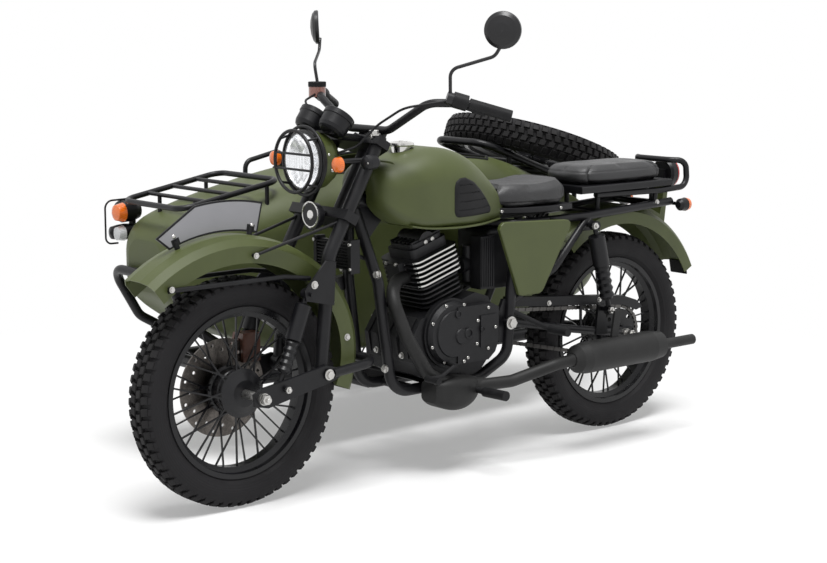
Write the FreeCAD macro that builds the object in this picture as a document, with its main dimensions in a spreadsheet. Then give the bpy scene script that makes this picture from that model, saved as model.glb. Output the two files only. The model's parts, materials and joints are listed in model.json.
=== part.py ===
import FreeCAD, Part
import math
import os
from types import SimpleNamespace

import Sketcher
from FreeCAD import Placement, Rotation, Vector

# A sidecar motorcycle. While it is built, x = 0 is the middle plane of the solo machine, which
# faces -y, its two axles lie at equal distances from y = 0, the sidecar is at -x and the floor is z = 0.
# At the end every piece is shifted so that the origin is in the middle of the footprint.

doc = FreeCAD.newDocument("sidecar_motorcycle")

# Driving sizes, in millimetres and degrees

driving = {
    "wheelbase": 1500.0,
    "tyre_radius": 328.0,
    "tyre_width": 108.0,
    "rim_radius": 245.0,
    "rim_depth": 30.0,
    "rim_width": 66.0,
    "spoke_size": 4.5,
    "hub_radius": 62.0,
    "hub_width": 100.0,
    "axle_radius": 9.0,
    "axle_clearance": 0.5,
    "rake": 30.0,
    "head_back": 488.0,
    "head_height": 983.0,
    "leg_spread": 100.0,
    "leg_offset": 55.0,
    "leg_diameter": 40.0,
    "yoke_gap": 236.0,
    "link_back": 229.0,
    "link_height": 366.0,
    "fender_radius": 477.0,
    "fender_back_radius": 330.0,
    "fender_half_width": 74.0,
    "fender_skirt": 74.0,
    "sheet": 3.0,
    "track": 1020.0,
    "wheel_lead": 150.0,
    "body_middle": 590.0,
    "body_wall": 8.0,
    "frame_tube": 34.0,
    "sidecar_tube": 42.0,
    "rack_tube": 18.0,
    "spare_tilt": 20.0,
    "spare_back": 985.0,
    "spare_height": 873.0,
    "shift_x": 0.0,
    "shift_y": 0.0,
}


class Size(float):
    """A number that keeps the sheet expression it was worked out from."""

    def __new__(cls, number, text):
        size = super().__new__(cls, number)
        size.text = text
        return size

    def __add__(self, other):
        return Size(float(self) + float(other), f"({self.text} + {written(other)})")

    def __radd__(self, other):
        return Size(float(other) + float(self), f"({written(other)} + {self.text})")

    def __sub__(self, other):
        return Size(float(self) - float(other), f"({self.text} - {written(other)})")

    def __rsub__(self, other):
        return Size(float(other) - float(self), f"({written(other)} - {self.text})")

    def __mul__(self, other):
        return Size(float(self) * float(other), f"({self.text} * {written(other)})")

    def __rmul__(self, other):
        return Size(float(other) * float(self), f"({written(other)} * {self.text})")

    def __truediv__(self, other):
        return Size(float(self) / float(other), f"({self.text} / {written(other)})")

    def __neg__(self):
        return Size(-float(self), f"(0 - {self.text})")


def written(number):
    """A size or a plain number as the text of an expression."""
    return number.text if isinstance(number, Size) else repr(round(float(number), 6))


sheet = doc.addObject("Spreadsheet::Sheet", "sizes")
for row, (alias, number) in enumerate(driving.items(), start=1):
    sheet.set(f"A{row}", alias)
    sheet.set(f"B{row}", str(number))
    sheet.setAlias(f"B{row}", alias)
doc.recompute()
s = SimpleNamespace(**{alias: Size(sheet.get(alias), f"sizes.{alias}") for alias in driving})

parts = []


# Helpers


def keep(part, at=(0, 0, 0), turn=Rotation()):
    """Keep an object as a sub-part, set at a point of the machine that is bound to the sheet."""
    x, y, z = at
    part.Placement = Placement(Vector(0, 0, 0), turn)
    part.setExpression(".Placement.Base.x", f"sizes.shift_x + {written(x)}")
    part.setExpression(".Placement.Base.y", f"sizes.shift_y + {written(y)}")
    part.setExpression(".Placement.Base.z", written(z))
    parts.append(part)
    return part


def solid_of(part):
    """The shape of an object that has been kept, at its place on the machine."""
    doc.recompute()
    return part.Shape.copy()


def feature(label, shape, at=(0, 0, 0), turn=Rotation()):
    """Keep a shape as the sub-part of this name, set at a point of the machine."""
    part = doc.addObject("Part::Feature", label)
    part.Shape = shape if shape.Placement.isIdentity() else Part.makeCompound([shape])
    return keep(part, at, turn)


def bind(target, name, number):
    """Give a property its number and, where it comes from the sheet, its expression."""
    setattr(target, name, float(number))
    if isinstance(number, Size):
        target.setExpression(name, number.text)


def new_body(label):
    return doc.addObject("PartDesign::Body", label)


def plane(body, role):
    """One of a body's own origin planes or axes."""
    return next(item for item in body.Origin.OriginFeatures if item.Role == role)


def drawn(body, role, corners, offset=0.0):
    """A sketch of one closed line on an origin plane, each corner held at its sizes."""
    drawing = body.newObject("Sketcher::SketchObject", body.Name + "_sketch")
    drawing.AttachmentSupport = [(plane(body, role), "")]
    drawing.MapMode = "FlatFace"
    drawing.AttachmentOffset = Placement(Vector(0, 0, offset), Rotation())
    if isinstance(offset, Size):
        drawing.setExpression(".AttachmentOffset.Base.z", offset.text)
    for here, there in zip(corners, corners[1:] + corners[:1]):
        drawing.addGeometry(Part.LineSegment(Vector(*here, 0), Vector(*there, 0)), False)
    for index, corner in enumerate(corners):
        after = (index + 1) % len(corners)
        drawing.addConstraint(Sketcher.Constraint("Coincident", index, 2, after, 1))
        for kind, number in zip(("DistanceX", "DistanceY"), corner):
            held = drawing.addConstraint(Sketcher.Constraint(kind, -1, 1, index, 1, float(number)))
            if isinstance(number, Size):
                drawing.setExpression(f"Constraints[{held}]", number.text)
    return drawing


def turn_about(body, drawing, axis):
    """Revolve a sketch about one of its own axes, H_Axis or V_Axis."""
    made = body.newObject("PartDesign::Revolution", body.Name + "_turned")
    made.Profile = drawing
    made.ReferenceAxis = (drawing, [axis])
    made.Angle = 360.0
    return made


def turned_body(label, corners):
    """A body made of one profile, given along the x axis, turned about that axis."""
    body = new_body(label)
    turn_about(body, drawn(body, "XZ_Plane", corners), "H_Axis")
    return body


def padded(body, drawing, length, midplane=False):
    made = body.newObject("PartDesign::Pad", body.Name + "_pad")
    made.Profile = drawing
    bind(made, "Length", length)
    made.Midplane = midplane
    return made


def drum(body, radius, height, start, along, second_radius=None):
    """A round boss or hollow, or a tapered one, added to a body from a point along a direction."""
    kind = "AdditiveCylinder" if second_radius is None else "AdditiveCone"
    made = body.newObject("PartDesign::" + kind, body.Name + "_drum")
    if second_radius is None:
        bind(made, "Radius", radius)
    else:
        bind(made, "Radius1", radius)
        bind(made, "Radius2", second_radius)
    bind(made, "Height", height)
    made.Placement = Placement(Vector(*start), Rotation(Vector(0, 0, 1), Vector(*along)))
    return made


def around(body, original, count, axis="X_Axis"):
    """Repeat a feature evenly about an axis of its body."""
    doc.recompute()
    made = body.newObject("PartDesign::PolarPattern", body.Name + "_ring")
    made.Originals = [original]
    made.Axis = (plane(body, axis), [""])
    made.Angle = 360.0
    made.Occurrences = count
    body.Tip = made
    return made


def in_line(body, original, count, reach, axis="Z_Axis"):
    """Repeat a feature in even steps along an axis of its body."""
    doc.recompute()
    made = body.newObject("PartDesign::LinearPattern", body.Name + "_row")
    made.Originals = [original]
    made.Direction = (plane(body, axis), [""])
    made.Length = reach
    made.Occurrences = count
    body.Tip = made
    return made


def largest(shape):
    """The main solid of a shape, without the offcuts of a trim."""
    return max(shape.Solids, key=lambda solid: solid.Volume)


def joined(shapes):
    """Fuse a list of solids and clean up the seams."""
    whole = shapes[0].fuse(shapes[1:]) if len(shapes) > 1 else shapes[0]
    return whole.removeSplitter()


def bent_path(points, bend):
    """Straight runs joined by tangent arcs."""
    edges = []
    start = points[0]
    for before, corner, after in zip(points, points[1:], points[2:]):
        inward = (corner - before).normalize()
        outward = (after - corner).normalize()
        half_turn = inward.getAngle(outward) / 2
        room = 0.46 * min((corner - before).Length, (after - corner).Length)
        reach = min(bend * math.tan(half_turn), room)
        radius = reach / math.tan(half_turn)
        first = corner - inward * reach
        last = corner + outward * reach
        middle = corner + (outward - inward).normalize() * (radius / math.cos(half_turn) - radius)
        edges.append(Part.LineSegment(start, first).toShape())
        edges.append(Part.Arc(first, middle, last).toShape())
        start = last
    edges.append(Part.LineSegment(start, points[-1]).toShape())
    return Part.Wire(edges)


def tube(points, diameter, bend=60.0):
    """A round bar along straight runs and bends."""
    points = [Vector(*p) for p in points]
    path = bent_path(points, bend)
    section = Part.Wire(Part.makeCircle(diameter / 2, points[0], points[1] - points[0]))
    return path.makePipeShell([section], True, False)


def ring_tube(corners, diameter, bend):
    """A round bar bent into a closed ring, in two halves that meet in the middle of two sides."""
    corners = [Vector(*corner) for corner in corners]
    half = len(corners) // 2
    first_middle = (corners[-1] + corners[0]) * 0.5
    second_middle = (corners[half - 1] + corners[half]) * 0.5
    halves = [[first_middle] + corners[:half] + [second_middle],
              [second_middle] + corners[half:] + [first_middle]]
    return joined([tube([tuple(point) for point in run], diameter, bend) for run in halves])


def rod(start, end, diameter):
    """A straight round bar between two points."""
    start, end = Vector(*start), Vector(*end)
    return Part.makeCylinder(diameter / 2, (end - start).Length, start, end - start)


def mirrored(shape):
    """The same piece on the other side of the middle plane."""
    return shape.mirror(Vector(0, 0, 0), Vector(1, 0, 0))


def both_sides(shape):
    return [shape, mirrored(shape)]


def flat_plate(points, x_from, x_to):
    """A plate with an outline in y and z, between two x positions."""
    ring = [Vector(x_from, y, z) for y, z in points]
    face = Part.Face(Part.makePolygon(ring + ring[:1]))
    return face.extrude(Vector(x_to - x_from, 0, 0))


def rounded_section(y, middle, half_width, bottom, top, low_corner, high_corner):
    """A rectangle with round corners across the machine, low corners and high corners apart."""
    limit = 0.98 * min(half_width, (top - bottom) / 2)
    low, high = min(low_corner, limit), min(high_corner, limit)
    left, right = middle - half_width, middle + half_width
    diagonal = 1 - math.sqrt(0.5)

    def at(x, z):
        return Vector(x, y, z)

    edges = [
        Part.LineSegment(at(left + low, bottom), at(right - low, bottom)),
        Part.Arc(at(right - low, bottom), at(right - low * diagonal, bottom + low * diagonal),
                 at(right, bottom + low)),
        Part.LineSegment(at(right, bottom + low), at(right, top - high)),
        Part.Arc(at(right, top - high), at(right - high * diagonal, top - high * diagonal),
                 at(right - high, top)),
        Part.LineSegment(at(right - high, top), at(left + high, top)),
        Part.Arc(at(left + high, top), at(left + high * diagonal, top - high * diagonal),
                 at(left, top - high)),
        Part.LineSegment(at(left, top - high), at(left, bottom + low)),
        Part.Arc(at(left, bottom + low), at(left + low * diagonal, bottom + low * diagonal),
                 at(left + low, bottom)),
    ]
    return Part.Wire([edge.toShape() for edge in edges])


def loft(sections, ruled=False):
    return Part.makeLoft(sections, True, ruled)


def revolved(profile, centre, axis, angle=360.0, start=0.0):
    """Turn a closed profile, given as distance along the axis and radius, about an axis through centre."""
    ring = [Vector(radius, 0, along) for along, radius in profile]
    face = Part.Face(Part.makePolygon(ring + ring[:1]))
    if start:
        face.rotate(Vector(0, 0, 0), Vector(0, 0, 1), start)
    solid = face.revolve(Vector(0, 0, 0), Vector(0, 0, 1), angle)
    solid.Placement = Placement(Vector(*centre), Rotation(Vector(0, 0, 1), Vector(*axis)))
    return solid


# Main points of the machine

front_axle_y = -s.wheelbase / 2
rear_axle_y = s.wheelbase / 2
sidecar_axle_y = rear_axle_y - s.wheel_lead
axle_z = s.tyre_radius
head_y = front_axle_y + s.head_back
rake_sin = math.sin(math.radians(s.rake))
rake_cos = math.cos(math.radians(s.rake))
link_y = front_axle_y + s.link_back
bore_radius = s.axle_radius + s.axle_clearance


def steer(x, back, up):
    """A point given in the slanted frame of the steering axis."""
    return (x, head_y + back * rake_cos + up * rake_sin, s.head_height - back * rake_sin + up * rake_cos)


steering_axis = (0, rake_sin, rake_cos)


# Wheels


def tyre(label, at, turn=Rotation()):
    """A tyre out to the tips of its blocks: even sides on rings about the wheel's axis, with a bore for the rim."""
    half = s.tyre_width / 2
    bead_half = s.rim_width / 2 + 1.7
    side_line = [(-bead_half, s.rim_radius + 1.5), (-0.98 * half, s.rim_radius + 26), (-half, s.rim_radius + 46),
                 (-0.88 * half, s.tyre_radius - 10), (-0.45 * half, s.tyre_radius)]
    spread = 1 / math.cos(math.pi / tyre_sides)
    upright = Rotation(Vector(0, 0, 1), Vector(1, 0, 0)) * Rotation(Vector(0, 0, 1), 180 / tyre_sides)
    rings = []
    for along, radius in side_line + [(-along, radius) for along, radius in reversed(side_line)]:
        ring = doc.addObject("Part::RegularPolygon", label + "_ring")
        ring.Polygon = tyre_sides
        bind(ring, "Circumradius", radius * spread)
        ring.Placement = Placement(Vector(along, 0, 0), upright)
        ring.setExpression(".Placement.Base.x", written(along))
        rings.append(ring)
    whole = doc.addObject("Part::Loft", label + "_whole")
    whole.Sections = rings
    whole.Solid = True
    whole.Ruled = True
    bore = doc.addObject("Part::Prism", label + "_bore")
    bore.Polygon = tyre_sides
    bind(bore, "Circumradius", (s.rim_radius - 9.7) * spread)
    bind(bore, "Height", s.tyre_width)
    bore.Placement = Placement(Vector(-half, 0, 0), upright)
    bore.setExpression(".Placement.Base.x", written(-half))
    cut = doc.addObject("Part::Cut", label)
    cut.Base, cut.Tool = whole, bore
    return keep(cut, at, turn)


def spoked_rim(label, spokes=36):
    """A steel rim laced to a drum hub with square spokes, four patterns of one spoke each."""
    half = s.rim_width / 2
    bead = s.rim_radius - 10
    floor = s.rim_radius - s.rim_depth
    body = turned_body(label, [
        (-hub_half, bore_radius), (-hub_half, 0.62 * s.hub_radius), (-hub_half + 10, 0.95 * s.hub_radius),
        (-hub_half + 14, s.hub_radius + 8), (-hub_half + 20, s.hub_radius + 8),
        (-hub_half + 24, s.hub_radius), (-8, s.hub_radius), (-5, s.hub_radius + 3),
        (5, s.hub_radius + 3), (8, s.hub_radius), (hub_half - 24, s.hub_radius),
        (hub_half - 20, s.hub_radius + 8), (hub_half - 14, s.hub_radius + 8),
        (hub_half - 10, 0.95 * s.hub_radius), (hub_half, 0.62 * s.hub_radius), (hub_half, bore_radius),
    ])
    for index in range(4):
        side = 1 if index % 2 else -1
        lean = 1 if index < 2 else -1
        outer = math.radians(360.0 * index / spokes)
        inner = outer + math.radians(20 * lean)
        start = Vector(side * (hub_half - 17), math.cos(inner) * (s.hub_radius - 2), math.sin(inner) * (s.hub_radius - 2))
        end = Vector(side * 6, math.cos(outer) * (floor + 2), math.sin(outer) * (floor + 2))
        along = end - start
        bar = body.newObject("PartDesign::AdditiveBox", label + "_spoke")
        bind(bar, "Length", s.spoke_size)
        bind(bar, "Width", s.spoke_size)
        bar.Height = along.Length
        bar.Placement = Placement(start, Rotation(Vector(0, 0, 1), along))
        around(body, bar, spokes // 4)
    turn_about(body, drawn(body, "XZ_Plane", [
        (-half - 2, bead), (-half - 2, s.rim_radius), (-half - 6, s.rim_radius), (-half - 6, bead - 4),
        (-half + 8, bead - 6), (-half + 18, floor), (half - 18, floor), (half - 8, bead - 6),
        (half + 6, bead - 4), (half + 6, s.rim_radius), (half + 2, s.rim_radius), (half + 2, bead),
        (half - 10, bead - 1), (half - 18, floor + 5), (-half + 18, floor + 5), (-half + 10, bead - 1),
    ]), "H_Axis")
    return body


def moved(shape, x, y, z):
    copy = shape.copy()
    copy.translate(Vector(x, y, z))
    return copy


hub_half = s.hub_width / 2
tyre_sides = 56
front_centre = (0, front_axle_y, axle_z)
rear_centre = (0, rear_axle_y, axle_z)
sidecar_centre = (-s.track, sidecar_axle_y, axle_z)
tyre("front_tyre", front_centre)
tyre("rear_tyre", rear_centre)
tyre("sidecar_tyre", sidecar_centre)
keep(spoked_rim("front_rim"), front_centre)
keep(spoked_rim("sidecar_rim"), sidecar_centre)

# Front brake disc, on the right of the front wheel, with two rings of holes

disc_outer, disc_inner, disc_thick = 142.0, 98.0, 5.0
disc_x = -(hub_half + 16)
disc = turned_body("front_disc", [
    (0, 24), (0, disc_outer), (disc_thick, disc_outer), (disc_thick, 38), (16, 38), (16, 24)])
for ring_radius, start_angle in ((disc_inner + 12, 0), (disc_inner + 30, 15)):
    turn = math.radians(start_angle)
    hole = disc.newObject("PartDesign::SubtractiveCylinder", "front_disc_hole")
    hole.Radius = 5
    hole.Height = disc_thick + 2
    hole.Placement = Placement(Vector(-1, ring_radius * math.cos(turn), ring_radius * math.sin(turn)),
                               Rotation(Vector(0, 0, 1), Vector(1, 0, 0)))
    around(disc, hole, 12)
keep(disc, (disc_x, front_axle_y, axle_z))

# Rear wheel with its sprocket on the left

sprocket_radius = 86.0
sprocket_x = hub_half
rear_rim = spoked_rim("rear_rim")
turn_about(rear_rim, drawn(rear_rim, "XZ_Plane", [
    (sprocket_x - 4, 24), (sprocket_x - 4, 52), (sprocket_x + 15, 52), (sprocket_x + 15, sprocket_radius - 8),
    (sprocket_x + 21, sprocket_radius - 8), (sprocket_x + 21, 24)]), "H_Axis")
window = rear_rim.newObject("PartDesign::SubtractiveCylinder", "rear_rim_window")
window.Radius = 8
window.Height = 20
window.Placement = Placement(Vector(sprocket_x + 8, 64, 0), Rotation(Vector(0, 0, 1), Vector(1, 0, 0)))
around(rear_rim, window, 8)
keep(rear_rim, rear_centre)

# Fork: legs, yokes and the leading link

leg_top = steer(s.leg_spread, -s.leg_offset, 22)
leg_bend = steer(s.leg_spread, -s.leg_offset, -358)
leg_foot = (s.leg_spread, link_y, s.link_height)
leg_radius = s.leg_diameter / 2
link_boss = Part.makeCylinder(25, 31, Vector(s.leg_spread - 17, link_y, s.link_height), Vector(1, 0, 0))
shock_x = s.leg_spread + 6
shock_top = (shock_x, link_y - 52, 600.0)
shock_foot = (shock_x, front_axle_y + 78, 348.0)
ear_x = shock_x + 13
shock_ear = flat_plate([(link_y + 40, 684), (link_y + 6, 690), (shock_top[1] - 20, 612),
                        (shock_top[1] - 14, 582), (link_y + 32, 560)], ear_x - 2, ear_x + 5)
arm_x = s.leg_spread + 24
arm_thick = 10.0
link_pin = rod((s.leg_spread - 22, link_y, s.link_height), (arm_x + 16, link_y, s.link_height), 16)
top_bolt = rod((shock_x - 12, shock_top[1], shock_top[2]), (ear_x + 15, shock_top[1], shock_top[2]), 12)
leg = joined([tube([leg_top, leg_bend, leg_foot], s.leg_diameter, 90), link_boss, shock_ear])
leg = leg.cut([link_pin, top_bolt])
feature("fork_legs", Part.makeCompound(both_sides(leg)))


def yoke(up, thick, back_edge):
    outline = [(-s.leg_spread - 32, -s.leg_offset - 26), (s.leg_spread + 32, -s.leg_offset - 26),
               (s.leg_spread + 32, -s.leg_offset + 22), (24, back_edge), (-24, back_edge),
               (-s.leg_spread - 32, -s.leg_offset + 22)]
    ring = [Vector(*steer(x, back, up)) for x, back in outline]
    face = Part.Face(Part.makePolygon(ring + ring[:1]))
    return face.extrude(Vector(*steering_axis) * thick)


stem_radius = 15.0
stem = rod(steer(0, 0, -s.yoke_gap - 12), steer(0, 0, 10), 2 * stem_radius)
risers = [rod(steer(side * 42, -8, 10), steer(side * 42, -8, 58), 28) for side in (-1, 1)]
yokes = joined([yoke(-12, 24, 24), yoke(-s.yoke_gap - 15, 30, 24), stem] + risers)
leg_room = rod(steer(s.leg_spread, -s.leg_offset, 40), leg_bend, s.leg_diameter)
yokes = yokes.cut(both_sides(leg_room))

# Handlebar

bar_half = [(405.0, -75.0, 1094.0), (332.0, -175.0, 1130.0), (250.0, -246.0, 1130.0), (92.0, -262.0, 1044.0)]
bar_points = bar_half + [(-x, y, z) for x, y, z in reversed(bar_half)]
handlebar = tube(bar_points, 24, 70)
feature("fork_yokes", yokes.cut(handlebar))
feature("handlebar", handlebar)

# Leading link with its loop behind the wheel

arm_plate = flat_plate([(link_y + 46, s.link_height + 12), (link_y + 42, s.link_height - 14), (link_y + 16, s.link_height - 24),
                        (front_axle_y + 20, axle_z - 30), (front_axle_y - 24, axle_z - 20),
                        (front_axle_y - 28, axle_z + 14), (front_axle_y, axle_z + 28),
                        (shock_foot[1] + 4, shock_foot[2] + 20), (link_y - 6, s.link_height + 26)],
                       arm_x, arm_x + arm_thick)
loop_y = link_y + 190
loop = tube([(arm_x + 6, link_y + 20, s.link_height), (arm_x - 4, loop_y, s.link_height + 12),
             (-arm_x + 4, loop_y, s.link_height + 12), (-arm_x - 6, link_y + 20, s.link_height)], 28, 55)
front_axle_length = arm_x + arm_thick + 14
spacer_in, spacer_out, head_out = hub_half + 1, arm_x, arm_x + arm_thick
front_axle_body = turned_body("front_axle", [
    (-front_axle_length, 0), (-front_axle_length, s.axle_radius), (-head_out - 10, s.axle_radius),
    (-head_out - 10, 17), (-head_out, 17), (-head_out, s.axle_radius), (-spacer_out, s.axle_radius),
    (-spacer_out, 13), (-spacer_in - 18, 13), (-spacer_in - 18, s.axle_radius), (spacer_in, s.axle_radius),
    (spacer_in, 13), (spacer_out, 13), (spacer_out, s.axle_radius), (head_out, s.axle_radius), (head_out, 17),
    (head_out + 10, 17), (head_out + 10, s.axle_radius), (front_axle_length, s.axle_radius), (front_axle_length, 0)])
front_axle = solid_of(keep(front_axle_body, front_centre))
shock_bolts = [rod((side * (shock_foot[0] - 14), shock_foot[1], shock_foot[2]),
                   (side * (arm_x + arm_thick + 8), shock_foot[1], shock_foot[2]), 12) for side in (-1, 1)]
link_arm = joined([arm_plate, mirrored(arm_plate), loop] + both_sides(link_pin) + shock_bolts)
feature("link_arm", link_arm.cut(front_axle))


def shock(top, foot, cover_radius, cover_share, lower_radius, eye_width):
    """A damper between two eyes: a smooth cover above, a ribbed gaiter below and a thin rod."""
    top, foot = Vector(*top), Vector(*foot)
    along = foot - top
    length = along.Length
    cover_start, cover_end = 0.12 * length, cover_share * length
    ribs = []
    count = 5
    gaiter_end = 0.86 * length
    pitch = (gaiter_end - cover_end) / count
    for index in range(count):
        ribs.append((cover_end + pitch * (index + 0.0), lower_radius - 5))
        ribs.append((cover_end + pitch * (index + 0.5), lower_radius))
    profile = [(0, 0), (0, 8), (cover_start - 6, 8), (cover_start, cover_radius), (cover_end, cover_radius)]
    profile += ribs + [(gaiter_end, lower_radius - 6), (gaiter_end, 8), (length, 8), (length, 0)]
    body = revolved(profile, tuple(top), tuple(along))
    eyes = [Part.makeCylinder(15, eye_width, point - Vector(eye_width / 2, 0, 0), Vector(1, 0, 0))
            for point in (top, foot)]
    return joined([body] + eyes)


front_shock = shock(shock_top, shock_foot, 24, 0.50, 21, 22)
front_shock = joined([front_shock, top_bolt])
feature("front_shocks", Part.makeCompound([piece.cut(shock_bolts) for piece in both_sides(front_shock)]))


# Fenders


def fender_band(crown, half_width, skirt, axle, start, end, x_middle=0.0):
    """A deep fender about an axle: its section is swept from one angle to another, 0 pointing rearwards."""
    y, z = axle
    section = [(-half_width, crown - skirt), (-half_width, crown - 0.36 * skirt),
               (-0.78 * half_width, crown - 0.10 * skirt), (-0.35 * half_width, crown),
               (0.35 * half_width, crown), (0.78 * half_width, crown - 0.10 * skirt),
               (half_width, crown - 0.36 * skirt), (half_width, crown - skirt)]
    inside = [(x * (1 - s.sheet / half_width), radius - (s.sheet if radius > crown - skirt else 0))
              for x, radius in reversed(section)]
    ring = [Vector(x_middle + x, y + radius * math.cos(math.radians(start)), z + radius * math.sin(math.radians(start)))
            for x, radius in section + inside]
    face = Part.Face(Part.makePolygon(ring + ring[:1]))
    return face.revolve(Vector(x_middle, y, z), Vector(1, 0, 0), end - start)


# The front fender follows a wide arc over the tyre and a tighter one behind it

fender_centre = (front_axle_y - 26, axle_z - 30)
fender_join, fender_front, fender_tip = 50.0, 128.0, -22.0


def over_fender(radius, angle):
    """A point in y and z at a distance and angle from the middle of the wide arc."""
    turn = math.radians(angle)
    return (fender_centre[0] + radius * math.cos(turn), fender_centre[1] + radius * math.sin(turn))


back_centre = over_fender(s.fender_radius - s.fender_back_radius, fender_join)
front_fender = joined([
    fender_band(s.fender_radius, s.fender_half_width, s.fender_skirt, fender_centre, fender_join, fender_front),
    fender_band(s.fender_back_radius, s.fender_half_width, s.fender_skirt, back_centre, fender_tip, fender_join),
])
feature("front_fender", front_fender)

stay_x = s.fender_half_width + 6
lower_stay = tube([(s.leg_spread - 8, link_y - 30, 640), (stay_x + 4, link_y - 110, 652),
                   (stay_x, *over_fender(s.fender_radius - 52, 124))], 14, 60)
upper_stay = rod((s.leg_spread - 4, head_y - 178, 796), (stay_x, *over_fender(s.fender_radius - 52, 84)), 9)
stay_studs = [rod((s.fender_half_width - 2, *over_fender(s.fender_radius - 52, angle)),
                  (stay_x + 8, *over_fender(s.fender_radius - 52, angle)), 12) for angle in (84, 123)]
stays = joined([lower_stay, upper_stay] + stay_studs).cut([leg, yokes, front_fender])
feature("fender_stays", Part.makeCompound(both_sides(stays)))

# Number plate standing on the front fender

plate_low, plate_high, plate_nose = s.fender_radius + 8, s.fender_radius + 96, s.fender_radius + 56
plate_from, plate_turn, plate_to = 77.0, 100.0, 115.0


def plate_at(x, radius, angle):
    return Vector(x, *over_fender(radius, angle))


def plate_outline(x):
    """The edge of the plate: concentric arcs with a lower front end."""
    middle = (plate_from + plate_to) / 2
    edges = [Part.Arc(plate_at(x, plate_low, plate_from), plate_at(x, plate_low, middle), plate_at(x, plate_low, plate_to - 3)),
             Part.LineSegment(plate_at(x, plate_low, plate_to - 3), plate_at(x, plate_nose, plate_to)),
             Part.LineSegment(plate_at(x, plate_nose, plate_to), plate_at(x, plate_high, plate_turn)),
             Part.Arc(plate_at(x, plate_high, plate_turn), plate_at(x, plate_high, (plate_turn + plate_from) / 2),
                      plate_at(x, plate_high, plate_from)),
             Part.LineSegment(plate_at(x, plate_high, plate_from), plate_at(x, plate_low, plate_from))]
    return Part.Wire([edge.toShape() for edge in edges])


plate = Part.Face(plate_outline(-2)).extrude(Vector(4, 0, 0))
plate_feet = [rod((0, *over_fender(s.fender_radius - s.sheet, angle)), (0, *over_fender(plate_low + 16, angle)), 16)
              for angle in (plate_from + 3, plate_to - 6)]
feature("number_plate", joined([plate] + [foot.cut(front_fender) for foot in plate_feet]))

# Headlight with its guard

lamp_y, lamp_z, lamp_radius = front_axle_y + 244, 964.0, 90.0
shell = revolved([(0, lamp_radius - 14), (0, lamp_radius - 6), (4, lamp_radius), (22, lamp_radius),
                  (26, lamp_radius - 3), (60, lamp_radius - 9), (84, lamp_radius - 24), (104, lamp_radius - 46),
                  (116, lamp_radius - 70), (120, 0), (18, 0), (18, 12),
                  (46, 12), (46, 22), (34, 46), (18, 64), (6, lamp_radius - 16)], (0, lamp_y, lamp_z), (0, 1, 0))
lens_rise = 21.0
dome = [(-lens_rise * (1 - (step / 6) ** 2), (lamp_radius - 8) * step / 6) for step in range(7)]
lens = turned_body("headlight_lens", [(0, 0)] + [(rise, radius) for rise, radius in dome])
lens = solid_of(keep(lens, (0, lamp_y - 0.3, lamp_z), Rotation(Vector(1, 0, 0), Vector(0, 1, 0))))
lamp_ears = [rod((side * (lamp_radius - 14), lamp_y + 46, lamp_z), (side * (s.leg_spread - 2), head_y - 88, lamp_z), 16)
             for side in (-1, 1)]
legs_solid = both_sides(leg)
shell = joined([shell] + lamp_ears).cut(legs_solid).cut([handlebar, yokes])
feature("headlight", shell)

guard_y = lamp_y - 30
guard_ring = Part.makeTorus(lamp_radius - 2, 5, Vector(0, guard_y, lamp_z), Vector(0, 1, 0))
guard_inner = Part.makeTorus(lamp_radius + 8, 5, Vector(0, lamp_y + 8, lamp_z), Vector(0, 1, 0))
guard_bars = [rod((x, guard_y, lamp_z - 84), (x, guard_y, lamp_z + 84), 7) for x in (-22, 22)]
guard_legs = [rod((x * 0.707 * (lamp_radius - 2), guard_y, lamp_z + z * 0.707 * (lamp_radius - 2)),
                  (x * 0.707 * (lamp_radius + 8), lamp_y + 8, lamp_z + z * 0.707 * (lamp_radius + 8)), 7)
              for x in (-1, 1) for z in (-1, 1)]
guard_lugs = [rod((x * 0.707 * (lamp_radius - 4), lamp_y + 12, lamp_z + z * 0.707 * (lamp_radius - 4)),
                  (x * 0.707 * (lamp_radius + 8), lamp_y + 8, lamp_z + z * 0.707 * (lamp_radius + 8)), 9)
              for x in (-1, 1) for z in (-1, 1)]
headlight_guard = joined([guard_ring, guard_inner] + guard_bars + guard_legs + guard_lugs).cut([shell, lens])
feature("headlight_guard", headlight_guard)

# Gauges, indicators and horn on the fork


gauge_x, gauge_up = 56.0, Vector(0, 0.62, 0.785)


def gauge(side):
    """A round instrument cup with a lip, its dial tilted back to the rider."""
    cup = revolved([(0, 0), (0, 30), (6, 39), (16, 43), (44, 44), (46, 47), (60, 47), (62, 44), (62, 39), (57, 39), (57, 0)],
                   (side * gauge_x, lamp_y + 58, lamp_z + 82), tuple(gauge_up))
    return cup


gauge_plate = flat_plate([(lamp_y + 44, lamp_z + 80), (lamp_y + 52, lamp_z + 86), (lamp_y + 170, lamp_z + 66),
                          (lamp_y + 170, lamp_z + 58)], -gauge_x - 16, gauge_x + 16)
gauge_posts = [rod((side * 42, lamp_y + 160, lamp_z + 70), steer(side * 42, -20, 12), 14) for side in (-1, 1)]
gauges = joined([gauge(-1), gauge(1), gauge_plate] + gauge_posts).cut([yokes, handlebar, shell])
feature("gauges", gauges)


def indicator(side, y, z, toward):
    """A round lamp on a short stalk across the machine."""
    body = revolved([(-26, 0), (-26, 12), (-16, 20), (8, 22), (20, 20), (26, 12), (28, 0)],
                    (side * 148, y, z), (0, toward, 0))
    stalk = rod((side * s.leg_spread, y + 24, z), (side * 148, y, z), 12)
    return joined([body, stalk])


front_indicators = [indicator(side, head_y - 112, 962, -1).cut(legs_solid + [shell]) for side in (-1, 1)]

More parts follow.
